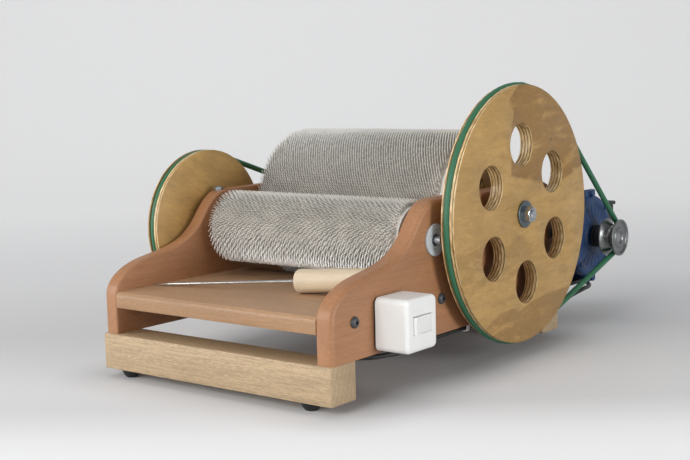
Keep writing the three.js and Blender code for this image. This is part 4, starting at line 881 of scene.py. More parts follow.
class CARDER_OT_panels(bpy.types.Operator):
    """Make the two side panels with rounded edges, bearing bores and bolt holes"""

    bl_idname = "carder.panels"
    bl_label = "Side panels"

    def execute(self, context):
        ease = context.scene.carder_details.panel_round
        for side in ("left", "right"):
            name = f"side_panel_{side}"
            low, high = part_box(name)
            bm = bmesh.new()
            prism(bm, panel_outline(low.x), ACROSS * (high.x - low.x))
            bmesh.ops.recalc_face_normals(bm, faces=bm.faces)
            caps = [face for face in bm.faces if abs(face.normal.x) > 0.9]
            for cap in caps:
                outer = (cap.normal.x > 0) == (side == "right")
                rims = [e for e in cap.edges if max(v.co.z for v in e.verts) > low.z + 0.001]
                bevel(bm, rims, ease if outer else ease * 0.4, 5 if outer else 3)
            bores = [(DRUM, BEARING_BORE, 64), (LICKER, BEARING_BORE, 64)]
            bores += [(middle_of(bolt), BOLT_BORE, 24) for bolt in panel_bolts(side)]
            tool = bmesh.new()
            for axis, radius, steps in bores:
                turned(tool, rod_profile(-0.01, 0.04, radius), Vector((low.x, axis.y, axis.z)), ACROSS, steps)
            if side == "left":
                start = Vector((middle_of("bearing_clamp_screw").x, LICKER.y, high.z))
                turned(tool, rod_profile(-0.0025, 0.01, SCREW_RECESS), start, UP, 48)
            bm = carved(bm, tool)
            finished(f"cherry_panel_{side}", bm, finish("cherry"), "frame", [name], 40)
        return {"FINISHED"}


class CARDER_OT_shelf(bpy.types.Operator):
    """Make the feed shelf with its rounded nose, and the rear stretcher"""

    bl_idname = "carder.shelf"
    bl_label = "Shelf and stretcher"

    def execute(self, context):
        ease = context.scene.carder_details.edge_ease
        low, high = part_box("feed_shelf")
        nose = 0.006
        centre = Vector((low.x, low.y + nose, high.z - nose))
        outline = [low] + [centre + Vector((0, y, z)) for y, z in arc(pi, pi / 2, 8, nose)]
        outline += [Vector((low.x, high.y, high.z)), Vector((low.x, high.y, low.z))]
        bm = bmesh.new()
        prism(bm, outline, ACROSS * (high.x - low.x))
        long_edges = [e for e in sharp_edges(bm) if abs(e.verts[0].co.x - e.verts[1].co.x) > 0.1]
        bevel(bm, long_edges, ease, 2)
        finished("shelf_board", bm, finish("shelf"), "frame", ["feed_shelf"])
        bm = bmesh.new()
        slab(bm, *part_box("rear_stretcher"), ease)
        finished("stretcher_board", bm, finish("shelf"), "frame", ["rear_stretcher"])
        return {"FINISHED"}


# Outline of a button head: distance out from the panel, and radius.
BUTTON_HEAD = [
    (-0.05, 0), (-0.05, 0.004), (0, 0.004), (0, 0.0068), (0.0012, 0.0068), (0.0026, 0.0062), (0.0037, 0.0050),
    (0.0042, 0.0036), (0.0044, 0.0028), (0.0044, 0),
]


class CARDER_OT_bolts(bpy.types.Operator):
    """Turn the black button-head bolts with hexagonal sockets, and the bright clamp screw"""

    bl_idname = "carder.bolts"
    bl_label = "Bolts"

    def execute(self, context):
        for side, way in (("left", -1), ("right", 1)):
            bm = bmesh.new()
            names = panel_bolts(side)
            for name in names:
                start = middle_of(name)
                start.x = MIDDLE_X + way * OUTER
                bolt = bmesh.new()
                turned(bolt, softened(BUTTON_HEAD, 0.0003, 2), start, ACROSS * way, 40)
                socket = bmesh.new()
                rim = [beside(start + ACROSS * way * 0.0022, 0.0027, pi / 3 * corner) for corner in range(6)]
                prism(socket, rim, ACROSS * way * 0.006)
                absorb(bm, carved(bolt, socket))
            finished(f"button_bolts_{side}", bm, finish("black steel"), "frame", names)
        low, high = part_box("bearing_clamp_screw")
        start = Vector((middle_of("bearing_clamp_screw").x, LICKER.y, low.z))
        bm = bmesh.new()
        hex_screw(bm, start, high.z - low.z, 0.013, 0.0055, 0.004, 0.0007, 32)
        finished("clamp_screw", bm, finish("zinc"), "frame", ["bearing_clamp_screw"])
        return {"FINISHED"}


class CARDER_OT_bearings(bpy.types.Operator):
    """Turn the four flanged bearings with their stepped mouths"""

    bl_idname = "carder.bearings"
    bl_label = "Bearings"

    def execute(self, context):
        for side, way in (("left", -1), ("right", 1)):
            bm = bmesh.new()
            for axis, shaft in ((DRUM, DRUM_SHAFT), (LICKER, LICKER_SHAFT)):
                bore, mouth, body, flange = shaft + 0.00008, shaft + 0.0027, 0.013, 0.0196
                face = OUTER + 0.003
                step = face - 0.0006
                seat = face - 0.006
                profile = [(INNER, bore), (INNER, body), (OUTER, body), (OUTER, flange), (face, flange)]
                profile += [(face, mouth + 0.0045), (step, mouth + 0.0042), (step, mouth + 0.0004)]
                profile += [(face - 0.0010, mouth), (seat, mouth), (seat, bore), (INNER, bore)]
                turned(bm, softened(profile, 0.0007), axis, ACROSS * way, 96)
            names = [f"{roller}_bearing_{side}" for roller in ("drum", "lickerin")]
            finished(f"flange_bearings_{side}", bm, finish("grey plastic"), "frame", names)
        return {"FINISHED"}


# Rollers and their card clothing
SET_ROWS = 4
# A wire's cross-sections from foot to tip: share of its height, of its lean and of its thickness.
WIRE_SECTIONS = [(-0.08, 0.0, 1.0), (0.50, 0.08, 0.95), (1.0, 1.0, 0.8)]
WIRE_VERTS = 9
# How far a wire's tip strays, and the share of wires lost from a cloth's worn right margin.
WIRE_STRAY = 0.0003
WIRE_LOSS = 0.72
# The drum's cloth, counted from the middle plane: its ends, where its bare margins begin, and the reach of
# its wires.
DRUM_CLOTH_ENDS = (-0.153, 0.153)
DRUM_MARGINS = (-0.1522, 0.1475)
DRUM_REACH = (-0.1515, 0.1495, 0.1440)


def wire_point(bm, centre, radius, angle, x, height, lean, thick):
    """One bent wire: three sides, a knee half way up and a slanted tip."""
    outward = Vector((0, cos(angle), sin(angle)))
    onward = Vector((0, -sin(angle), cos(angle)))
    rings = []
    for share, shift, size in WIRE_SECTIONS:
        middle = centre + ACROSS * x + outward * (radius + height * share) + onward * lean * shift
        corners = arc(0, 2 * pi, 3, thick * size)[:3]
        rings.append([bm.verts.new(middle + onward * along + ACROSS * aside) for along, aside in corners])
    for below, above in zip(rings, rings[1:]):
        for corner in range(3):
            following = (corner + 1) % 3
            bm.faces.new((below[corner], below[following], above[following], above[corner]))
    bm.faces.new(rings[-1])
    bm.faces.new(rings[0][::-1])


def wires(name, axis, radius, reach, sets, lean, nodes, body, ragged):
    """Rows of wire points, spun round in copies. The reach gives their first place, their last, and the place
    beyond which most of them are missing."""
    cloth = choices().carder_cloth
    left, right, bare = reach
    zigzag = 0.4 if lean > 0 else 0.0
    bm = bmesh.new()
    for row in range(SET_ROWS):
        start = left + cloth.wire_pitch * (row % 2) / 2
        for place in range(int((right - start) / cloth.wire_pitch) + 1):
            x = start + cloth.wire_pitch * place
            angle = (row + place % 2 * zigzag) * 2 * pi / sets / SET_ROWS
            wire_point(bm, axis, radius, angle, x, cloth.pin_height, lean, cloth.wire_radius)
    copied_round(bm, axis, sets)
    dice = Random(ragged)
    bm.verts.ensure_lookup_table()
    missing = []
    for first in range(0, len(bm.verts), WIRE_VERTS):
        wire = bm.verts[first:first + WIRE_VERTS]
        if wire[0].co.x - axis.x > bare and dice.random() < WIRE_LOSS:
            missing += wire
        shift = Vector([dice.gauss(0, WIRE_STRAY) for _ in range(3)])
        for vert in wire[6:]:
            vert.co += shift
        for vert in wire[3:6]:
            vert.co += shift * 0.4
    bmesh.ops.delete(bm, geom=missing, context="VERTS")
    material = card_wire(f"{name} steel", axis, radius, cloth.pin_height, choices().carder_paints.wire)
    return finished(name, bm, material, body, nodes, 50)


class CARDER_OT_drum(bpy.types.Operator):
    """Make the main drum's shell, end discs and cloth backing"""

    bl_idname = "carder.drum"
    bl_label = "Main drum"

    def execute(self, context):
        left, right = span("drum_shell")
        shell = softened(tube_profile(left, right, 0.084, DRUM_SHELL), 0.0008)
        spun("drum_barrel", shell, DRUM, 160, finish("birch"), "main_drum", ["drum_shell"])
        for side in ("left", "right"):
            name = f"drum_end_{side}"
            start, end = span(name)
            bm = bmesh.new()
            disc = tube_profile(start, end, DRUM_SHAFT + FIT, 0.08385)
            turned(bm, softened(disc, 0.0006), DRUM, ACROSS, 128)
            tool = bmesh.new()
            for hole in range(3):
                spot = beside(DRUM, 0.038, 2 * pi * hole / 3 + pi / 2)
                turned(tool, rod_profile(start - 0.01, end + 0.01, 0.006), spot, ACROSS, 40)
            bm = carved(bm, tool)
            finished(f"drum_disc_{side}", bm, finish("disc"), "main_drum", [name])
        strip = softened(tube_profile(*DRUM_CLOTH_ENDS, DRUM_SHELL + FIT, DRUM_CLOTH), 0.0005, 2)
        # The drum backing's dark middle colour holds painted shade between the wires as well as dust.
        material = card_backing("Drum backing", *DRUM_MARGINS, shade(152, 145, 135))
        spun("drum_backing", strip, DRUM, 160, material, "main_drum")
        return {"FINISHED"}


class CARDER_OT_drum_cloth(bpy.types.Operator):
    """Set the main drum's wire points"""

    bl_idname = "carder.drum_cloth"
    bl_label = "Drum clothing"

    def execute(self, context):
        cloth = context.scene.carder_cloth
        lean = -cloth.pin_lean
        nodes = ["drum_card_cloth"]
        wires("drum_wires", DRUM, DRUM_CLOTH, DRUM_REACH, cloth.drum_sets, lean, nodes, "main_drum", 3)
        return {"FINISHED"}


class CARDER_OT_licker_in(bpy.types.Operator):
    """Make the licker-in's wooden core, cloth backing and axle"""

    bl_idname = "carder.licker_in"
    bl_label = "Licker-in"

    def execute(self, context):
        left, right = span("lickerin_core")
        core = softened(tube_profile(left, right, LICKER_SHAFT + FIT, LICKER_CORE), 0.0008)
        birch = finish("birch")
        spun("licker_barrel", core, LICKER, 112, birch, "licker_in", ["lickerin_core"])
        strip = softened(tube_profile(left, right, LICKER_CORE + FIT, LICKER_CLOTH), 0.0005, 2)
        # The licker-in backing's middle colour holds painted shade between the wires as well as dust.
        material = card_backing("Licker-in backing", left + 0.0006, right - 0.0030, shade(180, 173, 162))
        spun("licker_backing", strip, LICKER, 112, material, "licker_in")
        start, end = span("lickerin_axle")
        collar = INNER - 0.0004
        thin, thick = LICKER_SHAFT, 0.009
        profile = [(start, 0), (start, thin), (-collar, thin), (-collar, thick), (left - 0.0002, thick)]
        profile += [(left - 0.0002, thin), (right + 0.0002, thin), (right + 0.0002, thick), (collar, thick)]
        profile += [(collar, thin), (end, thin), (end, 0)]
        axle = softened(profile, 0.0006)
        steel = finish("licker axle")
        spun("licker_spindle", axle, LICKER, 64, steel, "licker_in", ["lickerin_axle"])
        return {"FINISHED"}


class CARDER_OT_licker_cloth(bpy.types.Operator):
    """Set the licker-in's wire points"""

    bl_idname = "carder.licker_cloth"
    bl_label = "Licker-in clothing"

    def execute(self, context):
        cloth = context.scene.carder_cloth
        left, right = span("lickerin_core")
        reach = (left + 0.002, right - 0.0015, right - 0.004)
        lean = cloth.pin_lean
        nodes = ["lickerin_card_cloth"]
        wires("licker_wires", LICKER, LICKER_CLOTH, reach, cloth.licker_sets, lean, nodes, "licker_in", 5)
        return {"FINISHED"}


# Belt wheels
# How far the middle of each wheel's belt groove lies inside its rim.
DRIVE_SEAT = 0.001
LEFT_SEAT = 0.0037
# The big wheel's round holes: their count, radius, distance from the axle, and the first one's turn.
HOLE_COUNT = 6
HOLE_RADIUS = 0.0283
HOLE_REACH = 0.0896
HOLE_TURN = 93.5
RIM_EASE = 0.0009


def wheel_profile(x0, x1, groove_x, radius, seat, bore):
    """Section of a wheel with a round-bottomed belt groove in its rim."""
    profile = [(x0, bore), (x0, radius), (groove_x - BELT_GROOVE, radius)]
    profile += [(groove_x + along, seat + out) for along, out in arc(pi, 2 * pi, 12, BELT_GROOVE)]
    profile += [(groove_x + BELT_GROOVE, radius), (x1, radius), (x1, bore), (x0, bore)]
    return profile


class CARDER_OT_drive_wheel(bpy.types.Operator):
    """Turn the big plywood wheel and bore its six holes"""

    bl_idname = "carder.drive_wheel"
    bl_label = "Big belt wheel"

    def execute(self, context):
        x0, x1 = span("drive_wheel")
        radius = radius_of("drive_wheel")
        groove_x = middle_of("drive_belt").x - MIDDLE_X
        bm = bmesh.new()
        profile = wheel_profile(x0, x1, groove_x, radius, radius - DRIVE_SEAT, DRUM_SHAFT + FIT)
        turned(bm, profile, DRUM, ACROSS, 240)
        tool = bmesh.new()
        for hole in range(HOLE_COUNT):
            spot = beside(DRUM, HOLE_REACH, radians(HOLE_TURN - 360 / HOLE_COUNT * hole))
            turned(tool, rod_profile(x0 - 0.01, x1 + 0.01, HOLE_RADIUS), spot, ACROSS, 96)
        bm = carved(bm, tool)
        bevel(bm, face_edges(bm, MIDDLE_X + x0, MIDDLE_X + x1), RIM_EASE, 2)
        finished("big_wheel", bm, finish("wheel"), "main_drum", ["drive_wheel"])
        return {"FINISHED"}


class CARDER_OT_left_wheels(bpy.types.Operator):
    """Turn the licker-in's plywood wheel and the small pulley that drives it"""

    bl_idname = "carder.left_wheels"
    bl_label = "Left wheels"

    def execute(self, context):
        groove_x = middle_of("lickerin_belt").x - MIDDLE_X
        wheels = [
            ("left_wheel", "lickerin_wheel", LICKER, LICKER_SHAFT, "left wheel", "licker_in", 192),
            ("small_pulley", "lickerin_drive_pulley", DRUM, DRUM_SHAFT, "pulley", "main_drum", 112),
        ]
        for name, node, axis, shaft, wood, body, steps in wheels:
            x0, x1 = span(node)
            radius = radius_of(node)
            bm = bmesh.new()
            profile = wheel_profile(x0, x1, groove_x, radius, radius - LEFT_SEAT, shaft + FIT)
            turned(bm, profile, axis, ACROSS, steps)
            bevel(bm, face_edges(bm, MIDDLE_X + x0, MIDDLE_X + x1), RIM_EASE, 2)
            finished(name, bm, finish(wood), body, [node])
        return {"FINISHED"}


class CARDER_OT_hubs(bpy.types.Operator):
    """Make the drum's axle with its threaded end, washers and nuts"""

    bl_idname = "carder.hubs"
    bl_label = "Axle, washer and nuts"

    def execute(self, context):
        pitch = context.scene.carder_details.thread_pitch
        left, right = span("drum_axle")
        wheel_back = span("drive_wheel")[0]
        washer_back, washer_face = span("drive_wheel_washer")
        pulley_face = span("lickerin_drive_pulley")[1]
        shoulder = OUTER + 0.0034
        thin, thick = DRUM_SHAFT, 0.011
        profile = [(left, 0), (left, thin), (pulley_face, thin), (pulley_face, thick), (-shoulder, thick)]
        profile += [(-shoulder, thin), (shoulder, thin), (shoulder, thick), (wheel_back, thick)]
        profile += [(wheel_back, thin), (washer_face, thin)]
        for turn in range(int((right - washer_face - 0.0006) / pitch)):
            start = washer_face + turn * pitch
            profile += [(start + pitch * 0.25, 0.0053), (start + pitch * 0.75, thin)]
        profile += [(right - 0.0005, 0.0056), (right, 0.005), (right, 0)]
        steel = finish("axle")
        spun("drum_spindle", profile, DRUM, 64, steel, "main_drum", ["drum_axle"], 25)
        ring = softened(tube_profile(washer_back, washer_face, 0.00625, 0.0176), 0.0007)
        nodes = ["drive_wheel_washer"]
        spun("big_washer", ring, DRUM, 96, finish("washer"), "main_drum", nodes)
        nuts = [
            ("big_wheel_nut", "drive_wheel_nut", DRUM, 1, 0.019, DRUM_SHAFT, "main_drum"),
            ("small_pulley_nut", "drum_left_nut", DRUM, -1, 0.017, DRUM_SHAFT, "main_drum"),
            ("left_wheel_nut", "lickerin_nut", LICKER, -1, 0.017, LICKER_SHAFT, "licker_in"),
        ]
        for name, node, axis, way, flats, shaft, body in nuts:
            inner, outer = sorted(way * end for end in span(node))
            bm = bmesh.new()
            hexagon(bm, flats, inner, outer, axis, ACROSS * way, 0.0009, shaft + 0.0001)
            finished(name, bm, finish("zinc"), body, [node])
        return {"FINISHED"}


# Belts
# A belt's weld: how far its lump reaches, how far it keeps its full height, and how much thicker it is there.
LUMP_REACH = 0.0085
LUMP_CORE = 0.004
LUMP_SWELL = 0.14


def belt_loop(bm, large, large_radius, small, small_radius):
    """A round belt: a ring of points carried round both pulleys and along the straight runs."""
    away = small - large
    heading = atan2(away.z, away.y)
    spread = acos((large_radius - small_radius) / hypot(away.y, away.z))
    upper, lower = heading + spread, heading - spread
    meeting = beside(large, large_radius, upper)
    outgoing = beside(small, small_radius, lower) - beside(large, large_radius, lower)
    returning = meeting - beside(small, small_radius, upper)
    ring = bmesh.ops.create_circle(bm, segments=16, radius=BELT_RADIUS)["verts"]
    outward = (meeting - large).normalized()
    facing = Matrix((ACROSS, outward, ACROSS.cross(outward))).transposed()
    bmesh.ops.rotate(bm, cent=(0, 0, 0), matrix=facing, verts=ring)
    bmesh.ops.translate(bm, vec=meeting, verts=ring)
    geometry = ring + list({edge for vert in ring for edge in vert.link_edges})
    turns = [(large, 2 * (pi - spread), 150, outgoing), (small, 2 * spread, 48, returning)]
    for axis, turn, steps, run in turns:
        bend = bmesh.ops.spin(
            bm, geom=geometry, cent=axis, axis=ACROSS, angle=turn, steps=steps, use_merge=False,
            use_duplicate=False,
        )
        last = [item for item in bend["geom_last"] if isinstance(item, bmesh.types.BMEdge)]
        pulled = bmesh.ops.extrude_edge_only(bm, edges=last)["geom"]
        bmesh.ops.translate(bm, vec=run, verts=verts_of(pulled))
        geometry = [item for item in pulled if not isinstance(item, bmesh.types.BMFace)]


class CARDER_OT_belts(bpy.types.Operator):
    """Run the two round green belts, each with the small lump of its weld"""

    bl_idname = "carder.belts"
    bl_label = "Belts"

    def execute(self, context):
        drive_radius = radius_of("drive_wheel") - DRIVE_SEAT - 0.0001
        left_radius = radius_of("lickerin_wheel") - LEFT_SEAT
        pulley_radius = radius_of("lickerin_drive_pulley") - LEFT_SEAT
        loops = [
            ("big_belt", "drive_belt", DRUM, drive_radius, MOTOR, 0.0225, 1.48),
            ("left_belt", "lickerin_belt", LICKER, left_radius, DRUM, pulley_radius, 3.9),
        ]
        for name, node, axis, radius, other, other_radius, weld in loops:
            x = middle_of(node).x
            large = Vector((x, axis.y, axis.z))
            bm = bmesh.new()
            belt_loop(bm, large, radius, Vector((x, other.y, other.z)), other_radius)
            seam = beside(large, radius, weld)
            for vert in bm.verts:
                core = beside(large, radius, atan2(vert.co.z - large.z, vert.co.y - large.y))
                outward = vert.co - core
                near = (vert.co - seam).length
                fading = max(near - LUMP_CORE, 0) / (LUMP_REACH - LUMP_CORE)
                if fading < 1 and outward.dot(core - axis) > -0.0002:
                    vert.co += outward * LUMP_SWELL * (1 - fading ** 2)
            finished(name, bm, finish("belt"), "frame", [node], 60)
        return {"FINISHED"}


# Motor
FAN_SLOTS = 20


def fan_of(bm, count, axis, make):
    """Makes a shape once and copies it round an axis."""
    part = bmesh.new()
    make(part)
    copied_round(part, axis, count)
    absorb(bm, part)


class CARDER_OT_motor(bpy.types.Operator):
    """Build the motor: finned body, ribbed shield, fan cover, feet, bolts and terminal box"""

    bl_idname = "carder.motor"
    bl_label = "Motor"

    def execute(self, context):
        details = context.scene.carder_details
        blue = finish("blue")
        left, right = span("motor_body")
        radius = radius_of("motor_body")
        root = radius - 0.004
        bm = bmesh.new()
        turned(bm, tube_profile(left, right, 0.0072, root), MOTOR, ACROSS, 128)

        def fin(part):
            start = MOTOR + Vector((left, -0.0013, root - 0.002))
            end = MOTOR + Vector((right, 0.0013, radius - 0.0001))
            slab(part, start, end, 0.0007, 2)

        fan_of(bm, details.fin_count, MOTOR, fin)
        finished("motor_barrel", bm, blue, "frame", ["motor_body"])
        self.shield(details.rib_count, right, blue)
        self.fan_cover(left, blue)
        self.feet_and_plate(blue)
        self.terminal_box()
        return {"FINISHED"}

    def shield(self, ribs, right, blue):
        rim = right + 0.010
        face = right + 0.016
        edge = 0.0605
        bore = MOTOR_SHAFT + 0.00008
        profile = [(right, bore), (right, edge), (rim - 0.0005, edge), (rim + 0.0020, edge - 0.0018)]
        profile += [(rim + 0.0034, edge - 0.0060), (rim + 0.0031, edge - 0.0105)]
        profile += [(rim + 0.0009, edge - 0.0135), (rim + 0.0002, 0.0445), (rim + 0.0030, 0.0245)]
        profile += [(face - 0.0004, 0.0225), (face, 0.0200), (face, bore), (right, bore)]
        bm = bmesh.new()
        turned(bm, softened(profile, 0.0022, 4), MOTOR, ACROSS, 128)

        def rib(part):
            base = MOTOR + Vector((0, -0.0012, 0))
            outline = [(rim - 0.001, 0.0465), (rim + 0.0008, 0.0455), (rim + 0.0035, 0.0235)]
            outline += [(rim + 0.0030, 0.021), (rim - 0.001, 0.021)]
            prism(part, [base + Vector((x, 0, z)) for x, z in outline], BACK * 0.0024)
            bmesh.ops.recalc_face_normals(part, faces=part.faces)
            bevel(part, part.edges[:], 0.0008, 2)

        fan_of(bm, ribs, MOTOR, rib)
        reach = radius_of("motor_drive_shield")
        pad_root, pad_half = 0.0535, 0.015
        for way in (-1, 1):
            low, high = sorted((way * reach, way * pad_root))
            near = MOTOR + Vector((rim - 0.009, -pad_half, low))
            slab(bm, near, MOTOR + Vector((rim, pad_half, high)), 0.0026, 4)
            head = MOTOR + UP * way * (reach - 0.0056)
            turned(bm, softened(rod_profile(rim - 0.001, rim + 0.0042, 0.0046), 0.0008), head, ACROSS, 32)
        finished("motor_shield", bm, blue, "frame", ["motor_drive_shield"])
        bm = bmesh.new()
        for quarter in range(4):
            start = beside(MOTOR, 0.0545, pi / 4 + pi / 2 * quarter)
            hexagon(bm, 0.006, rim + 0.0020, rim + 0.0052, start, ACROSS, 0.0004)
        finished("shield_screws", bm, blue, "frame")

    def fan_cover(self, left, blue):
        end = span("motor_fan_cover")[0]
        radius = radius_of("motor_fan_cover")
        ease = 0.014
        corner = arc(0, pi / 2, 8, ease)
        profile = [(end, 0)] + [(end + ease - along, radius - ease + out) for along, out in corner]
        profile += [(left, radius), (left, 0)]
        bm = bmesh.new()
        turned(bm, profile, MOTOR, ACROSS, 112)
        tool = bmesh.new()

        def slot(part):
            inner, outer, half = 0.012, 0.045, 0.0016
            low = MOTOR + Vector((end - 0.005, -half, inner))
            slab(part, low, MOTOR + Vector((end + 0.003, half, outer)))

        fan_of(tool, FAN_SLOTS, MOTOR, slot)
        bm = carved(bm, tool)
        finished("fan_cowl", bm, blue, "frame", ["motor_fan_cover"])

    def feet_and_plate(self, blue):
        keep("motor_plate", finish("plate paint"))
        for row in ("front", "rear"):
            keep(f"motor_foot_{row}", blue)
        bm = bmesh.new()
        names = [f"motor_bolt_{index}" for index in range(1, 5)]
        for name in names:
            low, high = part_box(name)
            tall = high.z - low.z
            hex_screw(bm, middle_of(name) - UP * tall / 2, tall, 0.010, 0.004, 0.003, 0.0006, 24)
        finished("foot_bolts", bm, finish("zinc"), "frame", names)

    def terminal_box(self):
        low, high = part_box("motor_terminal_box")
        left, right = span("motor_terminal_box")
        bm = bmesh.new()
        lid = high.z - 0.006
        slab(bm, (low.x, low.y, lid), high, 0.0022, 4)
        near, far = high.y - 0.0022, high.y - 0.0045
        outline = [(low.y, low.z), (far, low.z), (near, lid + 0.001), (low.y, lid + 0.001)]
        case = bmesh.new()
        prism(case, [Vector((low.x + 0.002, y, z)) for y, z in outline], ACROSS * (right - left - 0.004))
        bmesh.ops.recalc_face_normals(case, faces=case.faces)
        bevel(case, case.edges[:], 0.004, 4)
        bm = carved(bm, case, "UNION")
        tool = bmesh.new()
        turned(tool, rod_profile(left - 0.01, right + 0.01, 0.0610), MOTOR, ACROSS, 128)
        bm = carved(bm, tool)
        plastic = finish("black plastic")
        finished("terminal_case", bm, plastic, "frame", ["motor_terminal_box"])
        bm = bmesh.new()
        for x in (low.x + 0.008, high.x - 0.008):
            for y in (low.y + 0.010, high.y - 0.008):
                start = Vector((x, y, high.z - 0.0030))
                profile = [(0, 0), (0, 0.0030), (0.0027, 0.0030), (0.0027, 0.0026)]
                profile += [(0.0014, 0.0020), (0.0014, 0)]
                turned(bm, softened(profile, 0.0003, 2), start, UP, 24)
        finished("lid_screws", bm, finish("zinc"), "frame")


class CARDER_OT_motor_pulley(bpy.types.Operator):
    """Turn the motor's shaft, seal and grooved aluminium pulley"""

    bl_idname = "carder.motor_pulley"
    bl_label = "Motor pulley"

    def execute(self, context):
        left, right = span("motor_shaft")
        shaft = softened(rod_profile(left, right, MOTOR_SHAFT), 0.0006)
        steel = finish("shaft")
        spun("motor_spindle", shaft, MOTOR, 64, steel, "motor_rotor", ["motor_shaft"])
        back = span("motor_drive_shield")[1] + 0.0004
        lip = back + 0.003
        bore = MOTOR_SHAFT + 0.00005
        profile = [(back, bore), (back, 0.0165), (lip, 0.0165), (lip, 0.012), (lip - 0.0012, 0.0105)]
        profile += [(lip, 0.0090), (lip, bore), (back, bore)]
        seal = softened(profile, 0.0005)
        spun("shaft_seal", seal, MOTOR, 80, finish("rubber"), "motor_rotor")
        back, face = span("motor_pulley")
        belt = middle_of("drive_belt").x - MIDDLE_X
        bore = MOTOR_SHAFT + FIT
        web = face - 0.023
        dish = face - 0.0020
        profile = [(web, bore), (web, 0.0268), (web + 0.0022, 0.0268), (belt - 0.002, 0.017)]
        profile += [(belt + 0.002, 0.017), (face - 0.0022, 0.0268), (face, 0.0268), (face, 0.0236)]
        profile += [(dish, 0.0228), (dish, 0.0150), (face - 0.0008, 0.0142), (face - 0.0008, 0.0098)]
        profile += [(dish, 0.0088), (dish, bore), (web, bore)]
        pulley = softened(profile, 0.0005)
        metal = finish("aluminium")
        spun("belt_pulley", pulley, MOTOR, 128, metal, "motor_rotor", ["motor_pulley"])
        hub = softened(tube_profile(back, web - 0.0001, bore, 0.016), 0.0008)
        spun("pulley_hub", hub, MOTOR, 96, finish("black plastic"), "motor_rotor")
        return {"FINISHED"}


# Switch and lead
def rounded_block(node, corner=0.007):
    """A new block in a CAD node's place, whose outline has round corners when seen from the side."""
    low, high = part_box(node)
    near, far = low.y + corner, high.y - corner
    bottom, top = low.z + corner, high.z - corner
    outline = []
    for quarter, (y, z) in enumerate([(far, top), (near, top), (near, bottom), (far, bottom)]):
        turns = arc(pi / 2 * quarter, pi / 2 * (quarter + 1), 10, corner)
        outline += [Vector((low.x, y + along, z + up)) for along, up in turns]
    bm = bmesh.new()
    prism(bm, outline, ACROSS * (high.x - low.x))
    return bm


class CARDER_OT_switch(bpy.types.Operator):
    """Mould the switch box with its soft edges, and its rocker"""

    bl_idname = "carder.switch"
    bl_label = "Switch"

    def execute(self, context):
        bm = rounded_block("switch_base_plate")
        plastic = finish("black plastic")
        finished("switch_gasket", bm, plastic, "frame", ["switch_base_plate"])
        middle = middle_of("switch_housing")
        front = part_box("switch_housing")[1].x
        bm = rounded_block("switch_housing")
        bmesh.ops.recalc_face_normals(bm, faces=bm.faces)
        bevel(bm, face_edges(bm, front), 0.005, 6)
        reach, tall = 0.018, 0.0104
        well = bmesh.new()
        low = (front - 0.0085, middle.y - reach, middle.z - tall)
        slab(well, low, (front + 0.01, middle.y + reach, middle.z + tall + 0.0005))
        bm = carved(bm, well)
        bevel(bm, face_edges(bm, front), 0.0006, 3)
        finished("switch_case", bm, finish("white plastic"), "frame", ["switch_housing"], 45)
        self.rocker(Vector((front - 0.002, middle.y, middle.z)))
        return {"FINISHED"}

    def rocker(self, pivot):
        radius, rise, under = 0.0176, 0.002, 0.003
        tilt = radians(11.5)
        top = pi / 2 - rise / radius - tilt / 2
        lower = pi / 2 + under / radius
        outline = [(rise / cos(tilt / 2), 0)] + arc(top, lower, 6, radius) + arc(-lower, -top, 6, radius)
        lean = Matrix.Rotation(tilt / 2, 3, UP)
        base = pivot - UP * 0.010
        bm = bmesh.new()
        prism(bm, [base + lean @ Vector((out, along, 0)) for out, along in outline], UP * 0.020)
        bmesh.ops.recalc_face_normals(bm, faces=bm.faces)
        bevel(bm, sharp_edges(bm, 0.5), 0.0007, 3)
        finished("rocker_key", bm, finish("white plastic"), "rocker", ["switch_rocker"], 45)


# The lead's way in millimetres: out from the right panel's face, back from the switch box or from the rear
# beam, and up.
LEAD_FRONT = [
    (12, 10, 60.7), (12, 10, 57.2), (9.5, 2, 54.2), (4.5, -9, 53.6), (1, -21, 53.6), (-6.5, -33, 53.6),
    (-17.5, -40, 53.6), (-28, -36.5, 53.6), (-31.5, -26, 53.6), (-28, -12, 53.6), (-20, 8, 53.6),
    (-11, 40, 53.6), (-5.5, 85, 53.6), (-4.5, 130, 53.6),
]
LEAD_REAR = [
    (-4.5, -194, 53.6), (-4.5, -124, 53.6), (-7, -89, 52.2), (-18, -64, 44.5), (-27, -52, 37.5),
    (-30.9, -43, 34.5), (-30.9, -2, 34.5), (-30, 22, 34.5), (-26, 60, 40), (-24, 96, 45.5), (-25, 126, 48),
    (-32, 156, 47), (-49, 186, 46), (-80.7, 208, 51), (-88.7, 217.5, 62), (-89.7, 219.5, 81),
    (-89.7, 219.5, 92.7),
]


